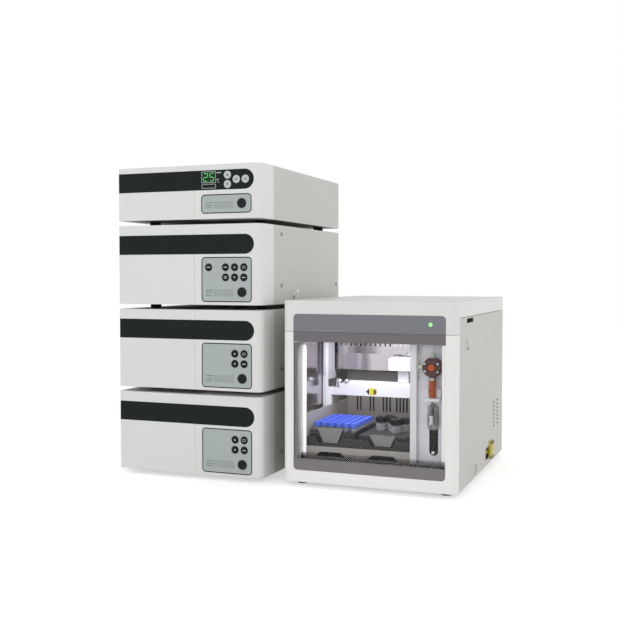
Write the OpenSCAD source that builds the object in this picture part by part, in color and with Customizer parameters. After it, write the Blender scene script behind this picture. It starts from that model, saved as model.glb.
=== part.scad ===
// Liquid chromatography system: a stack of four front-access modules (column
// oven, detector and two pumps) with an autosampler standing on its right.
// Millimetres, +Z up, front towards -Y. The origin is on the bench plane under
// the middle of the whole set.

/* [Stack] */
// Width of every stack module
stack_w = 340; // [320:1:360]
// Depth of every stack module
stack_d = 470; // [440:1:500]
// Height of the detector and pump housings, without feet
module_h = 168.5; // [160:0.5:180]
// Height of the column oven housing, without feet
oven_h = 112.5; // [108:0.5:125]
// Height of a rubber foot
foot_h = 10.5; // [8:0.5:14]
// Radius of the moulded corner on the right of each front
corner_r = 16; // [10:1:20]
// How far the moulded fascia wraps round the right side
fascia_d = 65; // [50:1:75]
// Share of the front taken by the door, as a width
door_w = 186.5; // [170:0.5:200]

/* [Autosampler] */
// Width of the autosampler
sampler_w = 360; // [350:1:380]
// Depth of the autosampler, without its rear bumpers
sampler_d = 500; // [480:1:520]
// Height of the autosampler housing, without feet
sampler_h = 369; // [365:1:380]
// Clear space between the stack and the autosampler
gap = 44; // [20:1:80]
// How far the autosampler's front stands behind the stack's front
set_back = 10; // [0:1:30]

/* [Controls] */
// Diameter of a membrane key
key_dia = 16.4; // [12:0.2:18]
// Diameter of a power button
power_dia = 20; // [18:0.5:20]

/* [Sample tray] */
// Columns of small vials
vial_cols = 6; // [3:1:6]
// Rows of small vials
vial_rows = 8; // [3:1:8]
// Distance between neighbouring small vials
vial_pitch = 16; // [15:0.5:16]

/* [Hidden] */

fine = 48;          // facets of a round that shows
eps = 0.01;         // overshoot of a cut
touch = 0.3;        // gap between shells that meet

white_paint = [0.90, 0.90, 0.89];
warm_grey = [0.78, 0.78, 0.76];
band_black = [0.14, 0.17, 0.17];
film_grey = [0.68, 0.74, 0.74];
slate = [0.42, 0.42, 0.43];
steel = [0.76, 0.77, 0.78];
button_black = [0.12, 0.14, 0.14];
rubber_black = [0.07, 0.07, 0.08];

// Frame: the whole set, with what stands proud of it, is centred on X and Y.
button_proud = 1.2;
bumper_l = 9;
screw_proud = 1.4;
clip_proud = 6;
total_w = stack_w + gap + sampler_w;
front_y = -(set_back + sampler_d + bumper_l - button_proud) / 2;
stack_x = -(total_w + clip_proud - screw_proud) / 2;
sampler_x = stack_x + stack_w + gap;
sampler_y = front_y + set_back;

// Height of each module's underside above the bench.
pump_b_z = foot_h;
pump_a_z = pump_b_z + module_h + foot_h;
detector_z = pump_a_z + module_h + foot_h;
oven_z = detector_z + module_h + foot_h;

// Sheet and moulding thicknesses
sheet = 2;
moulding = 3;
door_wall = 2.5;
band_t = 0.8;
film_t = 0.5;

// Stack door: a shallow tray turning on two stub pins at its left edge.
door_depth = 10;
door_r = 6;
pin_r = 1.6;
bore_r = 1.66;
lug_t = 3;
lug_gap = 0.4;
cover_front = door_depth + 4;
bulkhead_y = 112;

// Band on the door and fascia
band_h = 41;
band_z = module_h - 62.5;
oven_band_z = oven_h - 52.5;
band_end_x = stack_w - corner_r;

// Keypad film, measured from the module's left and underside
keypad_x = 203;
keypad_z = 6;
keypad_w = 116;
keypad_h = 94;
oven_keypad_z = 11;
oven_keypad_h = 40;
keypad_r = 8;
power_x = 296.5;
power_z = 27;
oven_power_z = 31;
key_step = 21;
key_x = 280;
key_z = 57.5;
key_proud = 0.5;
power_clear = 0.3;

// ---------- shared shapes ----------

// Rectangle with round corners, its lower left corner at the origin.
module rounded_rect(w, h, r) {
    translate([r, 0]) square([w - 2 * r, h]);
    translate([0, r]) square([w, h - 2 * r]);
    for (x = [r, w - r], y = [r, h - r]) translate([x, y]) circle(r = r, $fn = fine);
}

// Upright plate facing the front: x and z are its lower left corner, y its front face.
module front_plate(x, y, z, w, t, h, r = 0) {
    translate([x, y + t, z]) rotate([90, 0, 0]) linear_extrude(height = t)
        if (r > 0) rounded_rect(w, h, r); else square([w, h]);
}

// Cylinder along Y, from y towards the back.
module bar_y(x, y, z, r, l) {
    translate([x, y, z]) rotate([-90, 0, 0]) cylinder(r = r, h = l, $fn = fine);
}

// Cylinder along X, from x to the right.
module bar_x(x, y, z, r, l) {
    translate([x, y, z]) rotate([0, 90, 0]) cylinder(r = r, h = l, $fn = fine);
}

// Plan outline whose front right corner is round.
module right_corner_plan(x0, x1, y0, y1, r) {
    translate([x0, y0]) square([x1 - r - x0, y1 - y0]);
    translate([x0, y0 + r]) square([x1 - x0, y1 - y0 - r]);
    translate([x1 - r, y0 + r]) circle(r = r, $fn = fine);
}

// Plan outline whose front left corner is round, and which ends square at its depth.
module left_corner_plan(x0, x1, y0, y1, r) {
    intersection() {
        translate([x0, y0]) square([x1 - x0, y1 - y0]);
        union() {
            translate([x0 + r, y0]) square([x1 - x0 - r, y1 - y0]);
            translate([x0, y0 + r]) square([x1 - x0, y1 - y0 - r]);
            translate([x0 + r, y0 + r]) circle(r = r, $fn = fine);
        }
    }
}

// Places a stack module: its local origin is its front left bottom corner.
module at_stack(z) { translate([stack_x, front_y, z]) children(); }

module at_sampler() { translate([sampler_x, sampler_y, foot_h]) children(); }

// ---------- stack modules ----------

// Side screws of a pump and of the detector as [y, z], the same on both sides.
pump_screws = [[105, 40], [451, 40]];
detector_screws = concat(pump_screws, [[105, 150]]);
screw_r = 4;
shank_r = 1.9;
shank_hole_r = 2.2;

// Folded sheet over the top and both sides, notched where the fascia sits.
module cover_sheet(h, screws = []) {
    difference() {
        translate([0, cover_front, 0]) cube([stack_w, stack_d - cover_front, h]);
        translate([sheet, cover_front - eps, -eps])
            cube([stack_w - 2 * sheet, stack_d, h - sheet + eps]);
        translate([door_w + touch, cover_front - eps, -eps])
            cube([stack_w, fascia_d + touch - cover_front + eps, h + 2 * eps]);
        for (p = screws) bar_x(-1, p[0], p[1], shank_hole_r, stack_w + 2);
    }
}

module oven_cover() { color(warm_grey) at_stack(oven_z) cover_sheet(oven_h); }

module pump_cover(z) { color(warm_grey) at_stack(z) cover_sheet(module_h, pump_screws); }

// Places of the tubing clips on the right sides as [y, z], and the drop to their screws.
detector_clip = [172, 25];
sampler_clip = [90, 286];
clip_drop = 11.5;
strap_t = 1.2;

// The detector's cover has six small test holes in its right side, and its clip's hole.
module detector_cover() {
    x = stack_w - sheet - 1;
    color(warm_grey) at_stack(detector_z) difference() {
        cover_sheet(module_h, detector_screws);
        for (y = [176, 270.6, 323.4], z = [70, 93.5]) bar_x(x, y, z, 1.5, sheet + 2);
        bar_x(x, detector_clip[0], detector_clip[1] - clip_drop, shank_hole_r, sheet + 2);
    }
}

// Screw in a side wall: its head stands on the wall, or on a strap of thickness pad.
module side_screw(x, y, z, side, pad = 0) {
    shank_l = sheet + pad;
    bar_x(side > 0 ? x + pad : x - screw_proud, y, z, screw_r, screw_proud);
    bar_x(side > 0 ? x - sheet : x, y, z, shank_r, shank_l);
}

module side_screws(z, spots) {
    at_stack(z) for (p = spots) {
        side_screw(0, p[0], p[1], -1);
        side_screw(stack_w, p[0], p[1], 1);
    }
}

module cover_screws() {
    color(steel) {
        side_screws(pump_b_z, pump_screws);
        side_screws(pump_a_z, pump_screws);
        side_screws(detector_z, detector_screws);
        at_stack(detector_z)
            side_screw(stack_w, detector_clip[0], detector_clip[1] - clip_drop, 1, strap_t);
        at_sampler()
            side_screw(sampler_w, sampler_clip[0], sampler_clip[1] - clip_drop, 1, strap_t);
    }
}

// Bent hinge bracket: the eye for the door's stub pin and its leg to the side wall.
module hinge_lug(z) {
    eye_r = 3.1;
    leg_x = 12.8;
    leg_w = 4.2;
    foot_y = 15.5;
    translate([0, 0, z]) linear_extrude(height = lug_t) difference() {
        union() {
            translate([door_r, door_r]) circle(r = eye_r, $fn = fine);
            translate([door_r, 4.2]) square([leg_x + leg_w - door_r, 3]);
            translate([leg_x, 4.2]) square([leg_w, foot_y + 6.5 - 4.2]);
            translate([sheet, foot_y]) square([leg_x + leg_w - sheet, 6.5]);
        }
        translate([door_r, door_r]) circle(r = bore_r, $fn = fine);
    }
}

// Height of the underside of the upper hinge bracket.
function upper_lug_z(h) = h - door_wall - lug_gap - lug_t;
lower_lug_z = door_wall + lug_gap;

// Base pan with the rear panel, the bulkhead behind the door bay and its side walls.
module chassis_pan(h) {
    inner_w = stack_w - 2 * sheet;
    rear_y = stack_d - 2 * sheet;
    wall_h = h - sheet;
    difference() {
        union() {
            translate([sheet, cover_front, 0])
                cube([door_w - sheet + touch, fascia_d, sheet]);
            translate([sheet, fascia_d + touch, 0])
                cube([inner_w, rear_y + sheet - fascia_d - touch, sheet]);
            translate([sheet, rear_y, 0]) cube([inner_w, sheet, wall_h]);
            translate([sheet, bulkhead_y, 0])
                cube([door_w - sheet + touch, sheet, wall_h]);
            translate([sheet, cover_front, 0])
                cube([sheet, bulkhead_y - cover_front + eps, wall_h]);
            translate([door_w + touch - sheet, cover_front, 0])
                cube([sheet, bulkhead_y - cover_front + eps, wall_h]);
            hinge_lug(lower_lug_z);
            hinge_lug(upper_lug_z(h));
        }
        rear_vents(h, rear_y);
    }
    power_inlet(rear_y + sheet);
}

// Ventilation slots in the rear panel.
module rear_vents(h, y) {
    slots = 8;
    pitch = 13;
    for (i = [0 : slots - 1]) translate([stack_w - 60 - i * pitch, y - 1, h * 0.35])
        cube([5, sheet + 2, h * 0.4]);
}

// Mains inlet with its fixing flange, on the outside of the rear panel.
module power_inlet(y) {
    w = 50;
    t = 2;
    difference() {
        front_plate(40, y - eps, 14, w, t + eps, 28, 4);
        front_plate(51, y + 0.6, 18, 28, t, 20, 4);
    }
}

module module_chassis(z, h) { color(steel) at_stack(z) chassis_pan(h); }

// Moulded cap over the right of the front, open at the back.
module module_fascia(z, h, strip_z, pad_z, pad_h, button_z) {
    x0 = door_w + touch;
    color(white_paint) at_stack(z) difference() {
        linear_extrude(height = h) right_corner_plan(x0, stack_w, 0, fascia_d, corner_r);
        translate([0, 0, moulding]) linear_extrude(height = h - 2 * moulding)
            right_corner_plan(x0 + sheet, stack_w - moulding, moulding, fascia_d + 1,
                              corner_r - moulding);
        band_outline(strip_z, x0, band_t);
        front_plate(keypad_x, -1, pad_z, keypad_w, film_t + 1, pad_h, keypad_r);
        bar_y(power_x, -1, button_z, power_dia / 2 + power_clear, moulding + 2);
    }
}

// Band on the fascia: square at the seam and round at its right end.
module band_outline(z, x0, over) {
    r = band_h / 2;
    translate([0, band_t, z]) rotate([90, 0, 0]) linear_extrude(height = band_t + over) {
        translate([x0, 0]) square([band_end_x - r - x0, band_h]);
        translate([band_end_x - r, r]) circle(r = r, $fn = fine);
    }
}

// The four inlaid strips that carry the doors' bands on across the fascias.
module fascia_bands() {
    color(band_black)
        for (m = [[pump_b_z, band_z], [pump_a_z, band_z], [detector_z, band_z],
                  [oven_z, oven_band_z]])
            at_stack(m[0]) band_outline(m[1], door_w + touch, 0);
}

// Outline of the door seen from above, shrunk by an inset.
module door_plan(inset = 0, depth = door_depth) {
    left_corner_plan(inset, door_w - inset, inset, depth, door_r - inset);
}

// Shallow moulded door with stub pins over its bottom wall and under its top.
module module_door(z, h, strip_z) {
    pin_l = lug_gap + lug_t + 1;
    color(white_paint) at_stack(z) {
        difference() {
            linear_extrude(height = h) door_plan();
            translate([0, 0, door_wall]) linear_extrude(height = h - 2 * door_wall)
                door_plan(door_wall, door_depth + 1);
            door_skin(strip_z);
        }
        translate([door_r, door_r, door_wall - eps])
            cylinder(r = pin_r, h = pin_l, $fn = fine);
        translate([door_r, door_r, h - door_wall - pin_l + eps])
            cylinder(r = pin_r, h = pin_l, $fn = fine);
    }
}

// Outer skin of the door's front and left side at the height of the band.
module door_skin(z) {
    translate([0, 0, z]) linear_extrude(height = band_h) difference() {
        translate([-1, -1]) square([door_w + 2, door_depth]);
        left_corner_plan(band_t, door_w + 2, band_t, door_depth + 1, door_r - band_t);
    }
}

// Dark strip let into the door, carried round its left corner.
module door_band(z, strip_z) {
    color(band_black) at_stack(z) intersection() {
        door_skin(strip_z);
        linear_extrude(height = strip_z + band_h + 1) door_plan();
    }
}

// ---------- controls ----------

module key(x, z, sunk = eps) { bar_y(x, -key_proud, z, key_dia / 2, key_proud + sunk); }

// Film with its hole for the power button.
module keypad_film(z, h, button_z) {
    difference() {
        front_plate(keypad_x, 0, z, keypad_w, film_t, h, keypad_r);
        bar_y(power_x, -1, button_z, power_dia / 2 + power_clear, 3);
    }
}

// Places of the domed keys as [column, row], counted from the block's lower middle key.
lone_key = [[-60 / key_step, 1]];
function key_block(first) = [for (c = [first : 1], r = [0, 1]) [c, r]];

module film_with_keys(z, keys) {
    at_stack(z) {
        keypad_film(keypad_z, keypad_h, power_z);
        for (k = keys) key(key_x + k[0] * key_step, key_z + k[1] * key_step);
    }
}

// A lone key on the left and a block of six.
module detector_keypad() {
    color(film_grey) film_with_keys(detector_z, concat(lone_key, key_block(-1)));
}

// A block of four on each pump.
module pump_keypads() {
    color(film_grey) for (z = [pump_a_z, pump_b_z]) film_with_keys(z, key_block(0));
}

// The oven's film is low, and its four keys stand on the band.
module oven_keypad() {
    mid_z = oven_band_z + band_h / 2;
    up_down = 9.6;
    color(film_grey) at_stack(oven_z) {
        keypad_film(oven_keypad_z, oven_keypad_h, oven_power_z);
        for (p = [[264.3, up_down], [264.3, -up_down], [284.6, 0], [305, 0]])
            key(p[0], mid_z + p[1], 0);
    }
}

// Lens of the two-digit temperature display, with its raised rim.
module temperature_display() {
    x = 204.9;
    z = oven_band_z + 15.3;
    w = 32;
    h = 22.6;
    t = 0.6;
    rim = 1.2;
    color("darkgreen") at_stack(oven_z) difference() {
        front_plate(x, -t, z, w, t, h, 1);
        front_plate(x + rim, -t - 1, z + rim, w - 2 * rim, 1.3, h - 2 * rim, 0.6);
    }
}

// Round button: cap, collar that keeps it in, and stem.
module power_button(module_z, z) {
    r = power_dia / 2;
    collar_y = moulding + 0.4;
    collar_t = 1.6;
    color(button_black) at_stack(module_z) {
        bar_y(power_x, -button_proud, z, r, button_proud + collar_y + eps);
        bar_y(power_x, collar_y, z, r + 1.6, collar_t);
        bar_y(power_x, collar_y + collar_t - eps, z, 4, 9);
    }
}

// ---------- what stands in the door bays ----------

column_y = bulkhead_y - 22;
column_z = oven_h / 2;
column_r = 6.35;

// Column with its end fittings, lying in two clips on the oven's bulkhead.
module analytical_column() {
    fitting_l = 18;
    x0 = 22;
    x1 = 165;
    color("silver") at_stack(oven_z) {
        bar_x(x0 + fitting_l - eps, column_y, column_z, column_r,
              x1 - x0 - 2 * fitting_l + 2 * eps);
        for (x = [x0, x1 - fitting_l]) bar_x(x, column_y, column_z, 9, fitting_l);
        bar_x(x0 - 10, column_y, column_z, 3.2, 10 + eps);
        bar_x(x1 - eps, column_y, column_z, 3.2, 10);
    }
}

// Two spring clips on the bulkhead, open towards the front.
module column_clips() {
    clip_w = 10;
    clip_r = 9.5;
    for (x = [60, 117]) difference() {
        union() {
            translate([x, column_y, column_z - clip_r])
                cube([clip_w, bulkhead_y - column_y + eps, 2 * clip_r]);
            bar_x(x, column_y, column_z, clip_r, clip_w);
        }
        bar_x(x - 1, column_y, column_z, column_r + 0.02, clip_w + 2);
        translate([x - 1, column_y - 12, column_z - 4.5]) cube([clip_w + 2, 12, 9]);
    }
}

module oven_chassis() {
    color(steel) at_stack(oven_z) {
        chassis_pan(oven_h);
        column_clips();
    }
}

// Flow cell block with its thumb screws and two tubing nuts.
module flow_cell() {
    x = 62;
    z = 60;
    body_w = 60;
    body_d = 46;
    body_h = 48;
    nut_l = 12;
    y = bulkhead_y - body_d;
    color(slate) at_stack(detector_z) {
        front_plate(x, y, z, body_w, body_d, body_h, 5);
        for (dx = [12, body_w - 12]) bar_y(x + dx, y - 10, z + body_h / 2, 6.5, 10 + eps);
        for (z1 = [z - nut_l + eps, z + body_h - eps])
            translate([x + body_w / 2, y + 16, z1]) cylinder(r = 4, h = nut_l, $fn = fine);
    }
}

// Positions of a pump's two liquid ends and of its purge valve.
head_x = [56, 116];
head_z = 84;
head_r = 21;
purge_x = 150;
purge_z = 44;
purge_block_d = 34;
purge_block = 30;

// Two liquid ends with check valves above and below, and the purge valve block.
module pump_heads(z) {
    head_l = 44;
    screw = 12;
    y = bulkhead_y - head_l;
    color("silver") at_stack(z) {
        for (x = head_x) {
            bar_y(x, y, head_z, head_r, head_l);
            for (dx = [-screw, screw], dz = [-screw, screw])
                bar_y(x + dx, y - 4, head_z + dz, 2.8, 4 + eps);
            for (turn = [0, 180]) translate([x, y + 14, head_z]) rotate([turn, 0, 0])
                check_valve();
        }
        difference() {
            translate([purge_x - purge_block / 2, bulkhead_y - purge_block_d,
                       purge_z - purge_block / 2])
                cube([purge_block, purge_block_d, purge_block]);
            bar_y(purge_x, bulkhead_y - purge_block_d - 1, purge_z, 4.55, 13);
        }
    }
}

module check_valve() {
    translate([0, 0, head_r - 1.5]) {
        cylinder(r = 7, h = 9.5, $fn = fine);
        cylinder(r = 4.2, h = 18, $fn = fine);
    }
}

// Fluted purge knob, its stem turning in the block's bore.
module purge_knob(z) {
    y = bulkhead_y - purge_block_d;
    flutes = 12;
    knob_r = 11;
    knob_l = 14;
    color(button_black) at_stack(z) {
        difference() {
            bar_y(purge_x, y - 1 - knob_l, purge_z, knob_r, knob_l);
            for (i = [0 : flutes - 1]) rotate_about(purge_x, purge_z, i * 360 / flutes)
                bar_y(purge_x + knob_r + 0.6, y - 2 - knob_l, purge_z, 1.6, knob_l + 2);
        }
        bar_y(purge_x, y - 1 - eps, purge_z, 4.5, 11);
    }
}

// Turns its child about a line along Y through x and z.
module rotate_about(x, z, a) {
    translate([x, 0, z]) rotate([0, a, 0]) translate([-x, 0, -z]) children();
}

// ---------- feet ----------

foot_r = 12;

module foot() {
    cylinder(r1 = foot_r - 1.5, r2 = foot_r, h = 2, $fn = fine);
    translate([0, 0, 2 - eps]) cylinder(r = foot_r, h = foot_h - 2 + eps, $fn = fine);
}

// Feet under every unit, and the bumpers on the autosampler's back.
module rubber_feet() {
    color(rubber_black) {
        for (z = [pump_b_z, pump_a_z, detector_z, oven_z], x = [40, 300], y = [90, 430])
            at_stack(z - foot_h) translate([x, y, 0]) foot();
        for (x = [26, sampler_w - 30], y = [44, sampler_d - 40])
            translate([sampler_x + x, sampler_y + y, 0]) foot();
        at_sampler() for (x = [16, sampler_w - 14], z = [40, 175])
            bar_y(x, sampler_d, z, 6.5, bumper_l);
    }
}

// ---------- autosampler casing ----------

sampler_r = 12;
frame_w = 23;
door_top = 305.4;
hood_bottom = 306;
sampler_door_d = 18;
pane_bottom = 24.4;
pane_t = 3;
pane_w = sampler_w - 2 * frame_w;
pane_r = 8;
lip_z = 338;
sampler_pin_x = 10;
sampler_pin_y = 10.5;
sampler_pin_r = 3;
side_front = 18.4;
left_side_front = 23.6;
flange_y = 26;
flange_back = flange_y + sheet;
window_x0 = 31;
window_z0 = 46;
window_z1 = 288;
lamp_x = 307;
lamp_z = 325;
hood_wall = pane_t + 1.5;
drain_y = 291;
drain_z = 12;
drain_w = 75;
drain_h = 26;

// Plan outline of the autosampler's front with both corners round, square at its depth.
module sampler_front_plan(inset, depth) {
    r = sampler_r - inset;
    w = sampler_w - 2 * inset;
    translate([inset, inset]) intersection() {
        square([w, depth - inset]);
        union() {
            translate([r, 0]) square([w - 2 * r, depth - inset]);
            translate([0, r]) square([w, depth - inset - r]);
            for (x = [r, w - r]) translate([x, r]) circle(r = r, $fn = fine);
        }
    }
}

// Folded body: floor, sides, rear panel and the inner front flange with its openings.
module sampler_chassis() {
    side_top = lip_z - 1;
    color(warm_grey) at_sampler() {
        difference() {
            union() {
                translate([0, left_side_front, 0])
                    cube([sheet, sampler_d - left_side_front, side_top]);
                translate([0, side_front, hood_bottom])
                    cube([sheet, left_side_front - side_front + eps, side_top - hood_bottom]);
                translate([sampler_w - sheet, side_front, 0])
                    cube([sheet, sampler_d - side_front, side_top]);
                translate([0, flange_y, 0]) cube([sampler_w, sampler_d - flange_y, sheet]);
                translate([0, sampler_d - sheet, 0]) cube([sampler_w, sheet, side_top]);
                front_plate(0, flange_y, 0, sampler_w, sheet, side_top);
                front_plate(hood_wall + 0.5, flange_y, side_top - 1,
                            sampler_w - 2 * hood_wall - 1, sheet,
                            sampler_h - moulding - side_top + 1);
                sampler_hinge_lugs();
            }
            front_plate(41, flange_y - 1, 48, 219, sheet + 2, 238, 2);
            front_plate(274, flange_y - 1, 50, 52, sheet + 2, 234, 2);
            side_openings();
            for (i = [0 : 11]) translate([90 + i * 14, sampler_d - sheet - 1, 190])
                cube([6, sheet + 2, 80]);
            bar_x(sampler_w - sheet - 1, sampler_clip[0], sampler_clip[1] - clip_drop,
                  shank_hole_r, sheet + 2);
        }
        power_inlet(sampler_d);
    }
}

// Eyes for the door's stub pins, on legs from the inner flange.
module sampler_hinge_lugs() {
    eye_r = 5;
    leg_x = 20.5;
    leg_w = 4.5;
    lug_h = 4;
    for (z = [8, door_top - 8 - lug_h]) translate([0, 0, z]) linear_extrude(height = lug_h)
        difference() {
            union() {
                translate([sampler_pin_x, sampler_pin_y]) circle(r = eye_r, $fn = fine);
                translate([sampler_pin_x, 7.5]) square([leg_x + leg_w - sampler_pin_x, 5]);
                translate([leg_x, 7.5]) square([leg_w, flange_y - 7]);
            }
            translate([sampler_pin_x, sampler_pin_y])
                circle(r = sampler_pin_r + 0.06, $fn = fine);
        }
}

// Tubing slot, louvres and drain opening in the right side.
module side_openings() {
    x = sampler_w - sheet - 1;
    depth = sheet + 2;
    translate([x, 84, 325]) cube([depth, 66, 9]);
    for (c = [0, 1], i = [0 : 6]) translate([x, 378 + c * 46, 74 + i * 9])
        cube([depth, 20, 3.2]);
    translate([x, drain_y, drain_z]) cube([depth, drain_w, drain_h]);
}

// Top cover, reaching down over the front to the seam above the door.
module sampler_hood() {
    inner_h = sampler_h - moulding;
    color(white_paint) at_sampler() difference() {
        union() {
            translate([0, 0, hood_bottom]) linear_extrude(height = sampler_h - hood_bottom)
                sampler_front_plan(0, side_front);
            translate([0, side_front - 1, lip_z])
                cube([sampler_w, sampler_d - side_front + 1, sampler_h - lip_z]);
        }
        translate([0, 0, hood_bottom - 1]) linear_extrude(height = inner_h - hood_bottom + 1)
            sampler_front_plan(hood_wall, side_front + 1);
        translate([hood_wall, side_front - 2, lip_z - 1])
            cube([sampler_w - 2 * hood_wall, sampler_d - side_front - 1, inner_h - lip_z + 1]);
        hood_recess(-1);
    }
}

// Space of the grey panel: round upper corners, square where the hood ends.
module hood_recess(y) {
    intersection() {
        front_plate(frame_w, y, hood_bottom - 20, pane_w, pane_t - y, 56, pane_r);
        translate([0, y, hood_bottom]) cube([sampler_w, pane_t - y, 60]);
    }
}

// Grey panel in the hood above the window, with the hole for the lamp.
module hood_panel() {
    color(slate) at_sampler() difference() {
        hood_recess(0);
        bar_y(lamp_x, -1, lamp_z, 4, pane_t + 2);
    }
}

module status_lamp() {
    color("lightgreen") at_sampler() {
        bar_y(lamp_x, 0, lamp_z, 4, pane_t);
        translate([lamp_x, eps, lamp_z]) rotate([90, 0, 0])
            cylinder(r1 = 4, r2 = 2.8, h = 0.8, $fn = fine);
    }
}

// Window frame: stiles and rails, hollow behind, with stub pins at the left.
module sampler_door_frame() {
    pin_l = 9;
    wall = 4;
    color(white_paint) at_sampler() {
        difference() {
            linear_extrude(height = door_top) sampler_front_plan(0, sampler_door_d);
            pane_space(-1, pane_t + 1);
            front_plate(window_x0, -1, window_z0, sampler_w - 2 * window_x0,
                        sampler_door_d + 2, window_z1 - window_z0, 5);
            translate([wall, wall + 1, wall]) cube([23, sampler_door_d, door_top - 2 * wall]);
            translate([sampler_w - wall - 23, wall + 1, wall])
                cube([23, sampler_door_d, door_top - 2 * wall]);
            translate([window_x0 + 3, wall + 1, wall])
                cube([sampler_w - 2 * window_x0 - 6, sampler_door_d, window_z0 - 2 * wall]);
        }
        for (z = [wall - eps, door_top - wall - pin_l])
            translate([sampler_pin_x, sampler_pin_y, z])
                cylinder(r = sampler_pin_r, h = pin_l + eps, $fn = fine);
    }
}

// Space of the pane: round lower corners, square at the door's top.
module pane_space(y, t) {
    intersection() {
        front_plate(frame_w, y, pane_bottom, pane_w, t, door_top, pane_r);
        translate([0, y, 0]) cube([sampler_w, t, door_top]);
    }
}

module sampler_door_pane() { color([0.6, 0.65, 0.65, 0.35]) at_sampler() pane_space(0, pane_t); }

// ---------- autosampler interior ----------

bay_floor = 40;
bay_left = 35;
bay_right = 262;
bay_rear = 300;
bay_t = 2;
low_wall_top = 134;
slot_pitch = 8;
// Groups of upright slots in the rear wall: left edge of the first, and how many
slot_groups = [[58.5, 2], [89.5, 2], [121, 3], [153, 4]];

// Grey tray bay: floor, low left wall, right wall, slotted rear wall and front apron.
module tray_compartment() {
    wall_h = 160;
    inner_d = bay_rear - flange_back;
    color(slate) at_sampler() difference() {
        union() {
            translate([bay_left, flange_back, bay_floor])
                cube([bay_right - bay_left, inner_d + bay_t, bay_t]);
            translate([bay_left, flange_back, bay_floor])
                cube([bay_t, inner_d + bay_t, low_wall_top - bay_floor]);
            translate([bay_right - bay_t, flange_back, bay_floor])
                cube([bay_t, inner_d + bay_t, wall_h]);
            front_plate(bay_left, bay_rear, bay_floor, bay_right - bay_left, bay_t, wall_h);
            front_plate(bay_left, flange_back, bay_floor, bay_right - bay_left, bay_t, 30);
        }
        for (x = [60, 172]) finger_notch(x);
        for (group = slot_groups, i = [0 : group[1] - 1])
            translate([group[0] + i * slot_pitch, bay_rear - 1, 107])
                cube([3.6, bay_t + 2, 52]);
    }
}

// Trapezium cut in the apron's lower part, below a rack's handle.
module finger_notch(x) {
    translate([x, flange_back + bay_t + 1, 50]) rotate([90, 0, 0])
        linear_extrude(height = bay_t + 2) polygon([[0, 0], [64, 0], [54, 9], [10, 9]]);
}

// Bright upper lining: left side, ceiling, waved back and the slotted strip above it.
module steel_shield() {
    x0 = 16;
    t = 1.5;
    strip_y = 250;
    strip_z = 244;
    bottom_z = 206;
    top_z = 284;
    waves = 2.2;
    steps = 24;
    w = bay_right - x0;
    function wave(i) = 256 + 3.5 * sin(i * 360 * waves / steps);
    color(steel) at_sampler() {
        translate([x0, flange_back, low_wall_top + 2])
            cube([t, strip_y - flange_back + eps, top_z - low_wall_top - 2 + eps]);
        translate([x0, flange_back, top_z]) cube([w, strip_y + t - flange_back, t]);
        difference() {
            front_plate(x0, strip_y, strip_z, w, t, top_z - strip_z + eps);
            for (i = [0 : 13]) translate([36.3 + i * 11.55, strip_y - 1, 261])
                cube([3.4, t + 2, 7.5]);
        }
        translate([0, 0, bottom_z]) linear_extrude(height = strip_z - bottom_z + eps)
            polygon(concat([for (i = [0 : steps]) [x0 + i * w / steps, wave(i)]],
                           [for (i = [steps : -1 : 0]) [x0 + i * w / steps, wave(i) + t]]));
        translate([x0, strip_y, strip_z]) cube([w, 11, t]);
    }
}

valve_x = 306;
valve_z = 241;
valve_r = 18.5;
valve_front = 16;
syringe_y = valve_front + 6.5;
panel_y = 34;
barrel_bottom = 181;

// Panel behind the right opening: the plunger's slot and the barrel's moulded holder.
module syringe_panel() {
    holder_w = 32;
    shelf_z = barrel_bottom - 6;
    color(white_paint) at_sampler() difference() {
        union() {
            front_plate(264, panel_y, 44, 92, sheet, 244);
            front_plate(264, flange_back, 44, sheet, panel_y - flange_back + eps, 244);
            front_plate(valve_x - holder_w / 2, 26, shelf_z + 1, holder_w, 8 + eps, 23, 4);
            front_plate(valve_x - holder_w / 2, 14, shelf_z, holder_w, 20 + eps, 6, 2.5);
            for (side = [-1, 1]) bar_y(valve_x + side * 11.5, 24.4, 193, 2.4, 2);
        }
        front_plate(297, panel_y - 1, 66, 18, 4, 102, 8.9);
        translate([valve_x, syringe_y, shelf_z - 1]) cylinder(r = 3.2, h = 8, $fn = fine);
        translate([valve_x, syringe_y, barrel_bottom]) cylinder(r = 6.6, h = 30, $fn = fine);
    }
}

// ---------- tray, racks and vials ----------

carrier_z = 72;
carrier_front = 33;
carrier_d = 164;
rack_z = 75;
rack_y = 46;
rack_d = 144;
rack_h = 24;
bottle_rack_h = 20;
vial_x0 = 51;
vial_y0 = 62;
vial_r = 5.8;
vial_body_h = 27;
vial_neck_r = 4;
vial_neck_h = 6;
vial_z = rack_z + 4;
bottle_r = 11;
bottle_body_h = 32;
bottle_neck_r = 8;
bottle_neck_h = 8;
hole_clear = 0.3;

// Places of the large bottles in their rack
bottles = [[170, 128], [183, 151], [196, 128], [209, 105], [222, 128]];
small_vials = [for (c = [0 : vial_cols - 1], r = [0 : vial_rows - 1])
    [vial_x0 + c * vial_pitch, vial_y0 + r * vial_pitch]];

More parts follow.
